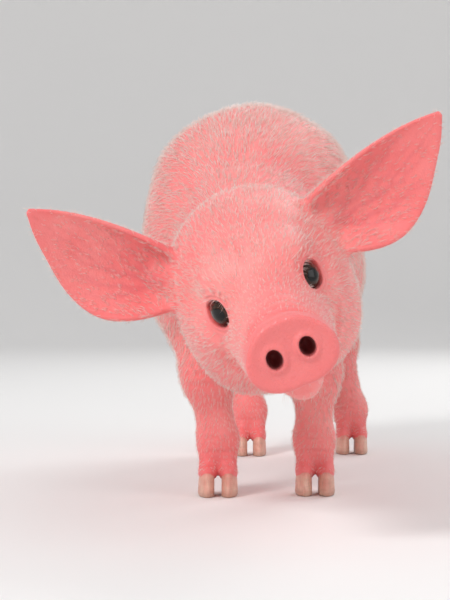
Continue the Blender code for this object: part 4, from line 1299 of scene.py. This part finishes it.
def dewclaw_rings(fetlock, side):
    """Rings along a blunt little cone of horn, from within the flesh to its tip."""
    way = dew_way(side)
    root = Matrix.Translation(fetlock + dew_root(side) + way * DEW_OUT)
    place = root @ way.to_track_quat("Z", "Y").to_matrix().to_4x4()
    turn = np.linspace(0, 2 * math.pi, DEW_AROUND, endpoint=False)
    rings = []
    for s in np.linspace(0, 1, DEW_ROWS):
        wide = DEW_RADIUS * flow_at(s, DEW_PROFILE, DEW_SCALE) * (1 + 0.025 * math.sin(20 * s))
        high = s * (DEW_LENGTH - DEW_SHORTER)
        rings.append([tuple(place @ Vector((wide * math.cos(a), wide * math.sin(a), high))) for a in turn])
    return rings


horn_finish = f = Shader("hoof")
place = f.place()
upright = f.add("Mapping", {"Vector": place, "Scale": (1.0, 1.0, 0.10)}).outputs["Vector"]
flat = f.add("Mapping", {"Vector": place, "Scale": (0.12, 0.12, 1.0)}).outputs["Vector"]
grain, bands = f.noise(900, 4, 0.6, upright), f.noise(520, 3, 0.5, flat)
height = f.add("SeparateXYZ", {0: place}).outputs["Z"]
colour = f.mix(f.spread(f.noise(120), 0.35, 0.65), HOOF_PALE, HOOF_WARM)
colour = f.tinted(colour, grain, 0.45, 0.75, 0.45, HOOF_DARK)
colour = f.tinted(colour, bands, 0.50, 0.75, 0.35, HOOF_DARK)
# Darker towards the sole
colour = f.tinted(colour, height, 0.006, 0.0, 0.60, HOOF_DARK)
flushed = f.tinted(colour, height, 0.012, 0.019, 0.50, BLOOD_PINK)
f.dress({
    "Base Color": f.mix(f.spread(height, 0.0215, 0.0225), flushed, colour),
    "Roughness": f.spread(f.noise(300), 0.3, 0.7, 0.34, 0.55),
    "Normal": f.bump(bands, 0.00022, 0.7, f.bump(grain, 0.00016, 0.7)),
    "Subsurface Weight": 0.10, "Subsurface Radius": (1.0, 0.5, 0.3), "Subsurface Scale": 0.002,
})

for feet, kind in ((FRONT_FEET, "front"), (HIND_FEET, "hind")):
    for leg, foot in feet.items():
        fetlock = fetlock_of(foot, kind)
        for side in SIDES:
            stem = "_".join((kind, SIDE_NAMES[leg], "outer" if side == leg else "inner"))
            for shape, rings in (("claw", claw_rings(foot, side)), ("dewclaw", dewclaw_rings(fetlock, side))):
                mesh = mesh_of(stem, *stacked(rings))
                smooth_piece(f"{stem}_{shape}_horn", mesh, horn_finish.material, "hoof", f"{stem}_{shape}")


# Coat
# Short fine bristles in small tufts, pale and sparse, that lie back along the head and body, out along
# the ears and down the legs. They are longest on the back.

HAIRS_IN_TUFT, TUFT_SHAPES, HAIR_RADIUS = 4, 6, 0.0125
PATCH = 0.003
drawn = np.random.default_rng(5)


def strand(root, turn, reach, lift, sink, column, columns):
    """One hair as points, triangles and each corner's place in its tuft's patch: it lies along X."""
    way = np.array((math.cos(turn), math.sin(turn), 0))
    across = np.array((-math.sin(turn), math.cos(turn), 0))
    foot, tip = root - (0, 0, sink), root + reach * way + (0, 0, lift)
    bend = root + 0.48 * reach * way + (0, 0, 0.72 * lift)
    points = []
    for middle, radius in ((foot, HAIR_RADIUS), (bend, 0.85 * HAIR_RADIUS)):
        for k in range(3):
            a = math.radians(90 + 120 * k)
            points.append(middle + radius * (math.cos(a) * across + math.sin(a) * np.array((0, 0, 1))))
    points.append(tip)
    faces, corners = [(2, 1, 0)], [((0.9, 0.00), (0.5, 0.04), (0.1, 0.00))]
    for k in range(3):
        j = (k + 1) % 3
        left, right, middle = k / 3 + 0.02, (k + 1) / 3 - 0.02, (k + 0.5) / 3
        faces += [(k, j, j + 3), (k, j + 3, k + 3), (k + 3, j + 3, 6)]
        corners += [((left, 0.06), (right, 0.06), (right, 0.50)), ((left, 0.06), (right, 0.50), (left, 0.50)),
                    ((left, 0.52), (right, 0.52), (middle, 1.0))]
    corners = (np.array(corners) + (column, 0)) / (columns, 1)
    return np.array(points), np.array(faces), corners


def hair_shape(name, strands, collection):
    """A shape of the strands in the collection, whose corners know their places in the patch."""
    points, faces, corners, count = [], [], [], 0
    for some, theirs, places in strands:
        points.append(some)
        faces.append(theirs + count)
        corners.append(places)
        count += len(some)
    mesh = mesh_of(name, np.concatenate(points), np.concatenate(faces))
    write(mesh, "patch", "FLOAT2", np.concatenate(corners), "CORNER")
    collection.objects.link(bpy.data.objects.new(name, mesh))


tufts, single_hair = (bpy.data.collections.new(name) for name in ("tufts", "single hair"))
for shape in range(TUFT_SHAPES):
    strands = []
    for k in range(HAIRS_IN_TUFT):
        root = np.array((*drawn.uniform(-0.14, 0.14, 2), 0.0))
        turn, reach = drawn.normal(0, 0.17) - 0.8 * root[1], drawn.uniform(0.72, 1.05)
        strands.append(strand(root, turn, reach, drawn.uniform(0.10, 0.28), 0.05, k, HAIRS_IN_TUFT))
    hair_shape(f"tuft_{shape}", strands, tufts)
hair_shape("hair", [strand(np.zeros(3), 0, 1, 0.16, 0.03, 0, 1)], single_hair)


class Tree:
    """A tree of geometry nodes with named inputs, to which nodes are added by kind."""

    def __init__(self, name, inputs):
        self.tree = bpy.data.node_groups.new(name, "GeometryNodeTree")
        self.sockets = {}
        for title, kind in (("Geometry", "Geometry"), *inputs):
            made = self.tree.interface.new_socket(title, in_out="INPUT", socket_type="NodeSocket" + kind)
            self.sockets[title] = made.identifier
        self.tree.interface.new_socket("Geometry", in_out="OUTPUT", socket_type="NodeSocketGeometry")
        self.given = self.tree.nodes.new("NodeGroupInput").outputs
        self.result = self.tree.nodes.new("NodeGroupOutput").inputs[0]

    def add(self, kind, inputs=None, **settings):
        node = self.tree.nodes.new(kind)
        for key, value in settings.items():
            setattr(node, key, value)
        for key, value in (inputs or {}).items():
            if isinstance(value, bpy.types.NodeSocket):
                self.tree.links.new(value, node.inputs[key])
            else:
                node.inputs[key].default_value = value
        return node

    def named(self, name, kind="FLOAT"):
        node = self.add("GeometryNodeInputNamedAttribute", {"Name": name}, data_type=kind)
        return node.outputs["Attribute"]

    def store(self, geometry, name, value, kind, domain):
        inputs = {"Geometry": geometry, "Name": name, "Value": value}
        return self.add("GeometryNodeStoreNamedAttribute", inputs, data_type=kind, domain=domain).outputs[0]

    def random(self, low, high, seed):
        inputs = {2: low, 3: high, "Seed": seed}
        return self.add("FunctionNodeRandomValue", inputs, data_type="FLOAT").outputs[1]

    def maths(self, operation, a, b):
        return self.add("ShaderNodeMath", {0: a, 1: b}, operation=operation).outputs[0]

    def vector(self, **inputs):
        return self.add("ShaderNodeCombineXYZ", inputs).outputs[0]

    def put_on(self, thing, settings):
        """The thing as the tree grows it, with the inputs set by the sockets' identifiers."""
        modifier = thing.modifiers.new("grown", "NODES")
        modifier.node_group = self.tree
        for title, value in settings.items():
            modifier[self.sockets[title]] = value
        plain_copy(thing)
        tidy_map(thing.data)
        thing.data.shade_smooth()


def tidy_map(mesh):
    """Only the patches' map stays of what the tree left on the mesh."""
    kept = ("OFBake", "material_index", "sharp_face")
    for name in [a.name for a in mesh.attributes if not (a.is_internal or a.is_required or a.name in kept)]:
        mesh.attributes.remove(mesh.attributes[name])


def grow_on(t, roots, upright, shapes, spread, tilt, shortest, longest, slim):
    """Instances of the shapes on the roots, laid along the lie, made real, with their patches placed."""
    rooted = t.store(roots, "root_uv", t.named("OFBake", "FLOAT_VECTOR"), "FLOAT_VECTOR", "POINT")
    bare = t.add("GeometryNodeRemoveAttribute", {"Geometry": rooted, "Name": "OFBake"})
    axes = {"Primary Axis": upright, "Secondary Axis": t.named("lie", "FLOAT_VECTOR")}
    laid = t.add("FunctionNodeAxesToRotation", axes, primary_axis="Z", secondary_axis="X")
    sway = t.vector(Y=t.random(-tilt, tilt, 1), Z=t.random(-spread, spread, 2))
    turn = t.add("FunctionNodeEulerToRotation", {"Euler": sway}).outputs[0]
    both = {"Rotation": laid.outputs[0], "Rotate By": turn}
    loose = t.add("FunctionNodeRotateRotation", both, rotation_space="LOCAL")
    size = t.maths("MULTIPLY", t.named("hair"), t.random(shortest, longest, 3))
    wide = t.maths("MULTIPLY", size, slim)
    kinds = t.add("GeometryNodeCollectionInfo", {
        "Collection": shapes, "Separate Children": True, "Reset Children": True,
    })
    pick = t.add("FunctionNodeRandomValue", {4: 0, 5: TUFT_SHAPES - 1, "Seed": 4}, data_type="INT")
    grown = t.add("GeometryNodeInstanceOnPoints", {
        "Points": bare.outputs[0], "Instance": kinds.outputs[0], "Pick Instance": True,
        "Instance Index": pick.outputs[2], "Rotation": loose.outputs[0],
        "Scale": t.vector(X=size, Y=wide, Z=wide),
    })
    real = t.add("GeometryNodeRealizeInstances", {0: grown.outputs[0]})
    inner = t.add("ShaderNodeVectorMath", {0: t.named("patch", "FLOAT_VECTOR"), 1: (-0.5, -0.5, 0)})
    small = t.add("ShaderNodeVectorMath", {0: inner.outputs[0], "Scale": PATCH}, operation="SCALE")
    where = t.add("ShaderNodeVectorMath", {0: small.outputs[0], 1: t.named("root_uv", "FLOAT_VECTOR")})
    mapped = t.store(real.outputs[0], "OFBake", where.outputs[0], "FLOAT2", "CORNER")
    painted = t.add("GeometryNodeSetMaterial", {"Geometry": mapped, "Material": t.given["Finish"]})
    t.tree.links.new(painted.outputs[0], t.result)


coat_tree = t = Tree("coat", (
    ("Region", "Int"), ("Spacing", "Float"), ("Density", "Float"), ("Thickness", "Float"), ("Seed", "Int"),
    ("Tufts", "Collection"), ("Finish", "Material"),
))
here = t.add("FunctionNodeCompare", {
    2: t.named("region", "INT"), 3: t.given["Region"],
}, data_type="INT", operation="EQUAL")
sown = t.add("GeometryNodeDistributePointsOnFaces", {
    "Mesh": t.given["Geometry"], "Selection": here.outputs[0], "Distance Min": t.given["Spacing"],
    "Density Max": t.given["Density"], "Density Factor": t.named("growth"), "Seed": t.given["Seed"],
}, distribute_method="POISSON")
grow_on(t, sown.outputs["Points"], sown.outputs["Normal"], t.given["Tufts"],
        spread=0.26, tilt=0.10, shortest=0.72, longest=1.25, slim=t.given["Thickness"])

COAT_PALE, COAT_WARM = (0.98, 0.82, 0.76, 1), (0.96, 0.70, 0.63, 1)
coat_finish = f = Shader("coat")
f.dress({
    "Base Color": f.mix(f.spread(f.noise(60), 0.35, 0.65), COAT_PALE, COAT_WARM),
    "Roughness": f.spread(f.noise(300, 2), 0.3, 0.7, 0.38, 0.55), "Sheen Weight": 0.25,
})

# The coat's regions, each a piece of its own on either side: the space between tufts, and their thickness
COAT_REGIONS = {
    "head": (0.0018, 1.25), "ears": (0.0015, 1.25), "shoulders": (0.0020, 1.0), "back": (0.0020, 1.0),
    "rump": (0.0020, 1.0), "legs": (0.0019, 1.25),
}
BACK_FROM, RUMP_FROM, FIRST_SEED, FILLED = 0.055, 0.175, 11, 0.7
at_face = faces[:, 0]
along_body = in_body[at_face, 1]
region = np.where(along_body < BACK_FROM, 2, np.where(along_body < RUMP_FROM, 3, 4))
region = np.where(part["head"][at_face] > 0.5, 0, region)
region = np.where(on_leg[at_face] > 0.5, 5, region)
region = np.where(ear_share[at_face] > 0.5, 1, region)
on_left = np.where(region < 2, in_head[at_face, 0], in_body[at_face, 0]) > 0
write(skin.data, "region", "INT", 2 * region + on_left, "FACE")

for k, (name, (spacing, thickness)) in enumerate(COAT_REGIONS.items()):
    for side in SIDES:
        coat = shown(f"coat_{name}_{SIDE_NAMES[side]}", skin.data.copy())
        place = 2 * k + (side == LEFT)
        coat_tree.put_on(coat, {"Region": place, "Spacing": spacing, "Density": FILLED / spacing**2,
                                "Thickness": thickness, "Seed": FIRST_SEED + place, "Tufts": tufts,
                                "Finish": coat_finish.material})
        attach(coat, "root")


# Lashes and whiskers
# Long pale lashes stand out from each upper lid and short ones from the lower, and a few fine whiskers
# from the muzzle and the chin.

UPPER_LASHES, LOWER_LASHES, LASH_LENGTH, LOWER_LASH_SHARE = 28, 12, 0.0090, 0.38
WHISKERS, WHISKER_LENGTH = 36, 0.0095

lash_tree = t = Tree("lashes", (("Slimness", "Float"), ("Hairs", "Collection"), ("Finish", "Material")))
rooted = t.add("GeometryNodeMeshToPoints", {"Mesh": t.given["Geometry"]})
grow_on(t, rooted.outputs[0], t.named("upright", "FLOAT_VECTOR"), t.given["Hairs"],
        spread=0.10, tilt=0.10, shortest=0.85, longest=1.15, slim=t.given["Slimness"])


def sown_hairs(name, roots, upright, lies, sizes, slimness):
    """Single hairs at the roots given, as one piece."""
    mesh = bpy.data.meshes.new(name)
    mesh.from_pydata([tuple(root) for root in roots], [], [])
    lies = tangent_to(np.array(lies, np.float32), 0 * np.array(lies, np.float32))
    write(mesh, "upright", "FLOAT_VECTOR", tangent_to(np.array(upright, np.float32), lies))
    write(mesh, "lie", "FLOAT_VECTOR", lies)
    write(mesh, "hair", "FLOAT", sizes)
    write(mesh, "OFBake", "FLOAT2", [(u, 0.5) for u in np.linspace(0.02, 0.98, len(roots))])
    piece = shown(name, mesh)
    lash_tree.put_on(piece, {"Slimness": slimness, "Hairs": single_hair, "Finish": coat_finish.material})
    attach(piece, "root")


for side in SIDES:
    roots, upright, lies, sizes = [], [], [], []
    place = HEAD @ eye_frame(side)
    turn = place.to_3x3()
    for count, lid, reach, lift in (
        (UPPER_LASHES, 1, LASH_LENGTH, 0.35), (LOWER_LASHES, -1, LOWER_LASH_SHARE * LASH_LENGTH, 0),
    ):
        for k in range(count):
            s = (k + 0.5) / count
            x = LID_HALF_LENGTH * (0.86 - 1.72 * s) - SLIT_BACK
            open_by = LID_HALF_OPENING * (1 - ((x + SLIT_BACK) / LID_HALF_LENGTH) ** 2) ** 0.7
            y = lid * (open_by + 0.0008)
            out = Vector((x, y, math.sqrt((EYE_RADIUS + 0.6 * LID_THICKNESS) ** 2 - x * x - y * y)))
            way = Vector((0.55 * x / LID_HALF_LENGTH, drawn.uniform(-0.75, -0.35) + lift, 0.75))
            roots.append(place @ out)
            upright.append(turn @ Vector((0, 1, 0.4)))
            lies.append(turn @ way.normalized())
            sizes.append(reach * (0.75 + 0.25 * math.sin(math.pi * s)) * drawn.uniform(0.8, 1.15))
    sown_hairs("lashes_" + SIDE_NAMES[side], roots, upright, lies, sizes, 1.15)

roots, lies = [], []
for k in range(WHISKERS):
    side = LEFT if k % 2 else RIGHT
    on_chin = drawn.uniform(0, 1) < 0.45
    y = drawn.uniform(-0.140 if on_chin else -0.148, -0.112)
    turn = math.radians(drawn.uniform(150, 178) if on_chin else drawn.uniform(58, 105))
    way = Vector((-side * math.sin(turn), 0, -math.cos(turn)))
    line = [HEAD @ (Vector((0, y, -0.006)) - way * reach) for reach in np.linspace(0.060, 0, 241)]
    line = np.array(line, np.float32)
    roots.append(line[np.argmax(hide(line) < 0)])
    way = HEAD.to_3x3() @ Vector((-way.x, drawn.uniform(-0.5, 0.1), -way.z))
    lies.append(way.normalized())
upright = hide_slope(np.array(roots, np.float32))[1]
sown_hairs("whiskers", roots, upright, lies, WHISKER_LENGTH * drawn.uniform(0.6, 1.15, WHISKERS), 0.50)

for collection in (tufts, single_hair):
    for thing in list(collection.objects):
        bpy.data.objects.remove(thing)
    bpy.data.collections.remove(collection)
for name in ("region", "hair", "growth", "lie"):
    skin.data.attributes.remove(skin.data.attributes[name])


# Floor and light
# A plain pale floor that rises all round into a pale wall, under soft studio light from the upper left.

FLOOR_RADIUS, FLOOR_BEND, WALL_HEIGHT, FLOOR_DROP = 2.6, 1.2, 3.0, 0.0003
profile = [(FLOOR_RADIUS * k / 6, 0.0) for k in range(1, 7)]
profile += [(FLOOR_RADIUS + FLOOR_BEND * math.sin(a), FLOOR_BEND * (1 - math.cos(a))) for a in arc(6, 90, 15)]
profile.append((FLOOR_RADIUS + FLOOR_BEND, WALL_HEIGHT))
sweep = np.linspace(0, 2 * math.pi, 96, endpoint=False)
form = bmesh.new()
middle = form.verts.new((0, 0, -FLOOR_DROP))
rings = []
for r, z in profile:
    rings.append([form.verts.new((r * math.cos(a), r * math.sin(a), z - FLOOR_DROP)) for a in sweep])
for k in range(len(sweep)):
    after = (k + 1) % len(sweep)
    form.faces.new((middle, rings[0][k], rings[0][after]))
    for low, high in zip(rings, rings[1:]):
        form.faces.new((low[k], high[k], high[after], low[after]))
floor_mesh = bpy.data.meshes.new("floor")
form.to_mesh(floor_mesh)
form.free()
floor_mesh.shade_smooth()
floor_paint = Shader("floor")
floor_paint.dress({"Base Color": (0.86, 0.85, 0.84, 1), "Roughness": 0.9})
floor_mesh.materials.append(floor_paint.material)
floor = shown("floor", floor_mesh)

LAMPS = {
    # place, watts, size
    "key": ((-1.3, -1.5, 1.6), 31, 0.7),
    "fill": ((1.7, -1.0, 0.9), 8, 1.4),
    "rim": ((0.9, 1.6, 1.5), 15, 1.0),
}
LIT_PLACE = Vector((0.02, -0.02, 0.14))
SKY_COLOUR, SKY_STRENGTH = (0.90, 0.91, 0.93, 1), 0.62
for name, (place, power, size) in LAMPS.items():
    lamp = bpy.data.lights.new(name, "AREA")
    lamp.energy = power
    lamp.size = size
    stand = shown(name, lamp)
    stand.location = place
    stand.rotation_euler = (LIT_PLACE - Vector(place)).to_track_quat("-Z", "Y").to_euler()
sky = bpy.data.worlds.new("studio")
sky.use_nodes = True
sky.node_tree.nodes["Background"].inputs["Color"].default_value = SKY_COLOUR
sky.node_tree.nodes["Background"].inputs["Strength"].default_value = SKY_STRENGTH
bpy.context.scene.world = sky
bpy.context.scene.view_settings.view_transform = "Standard"
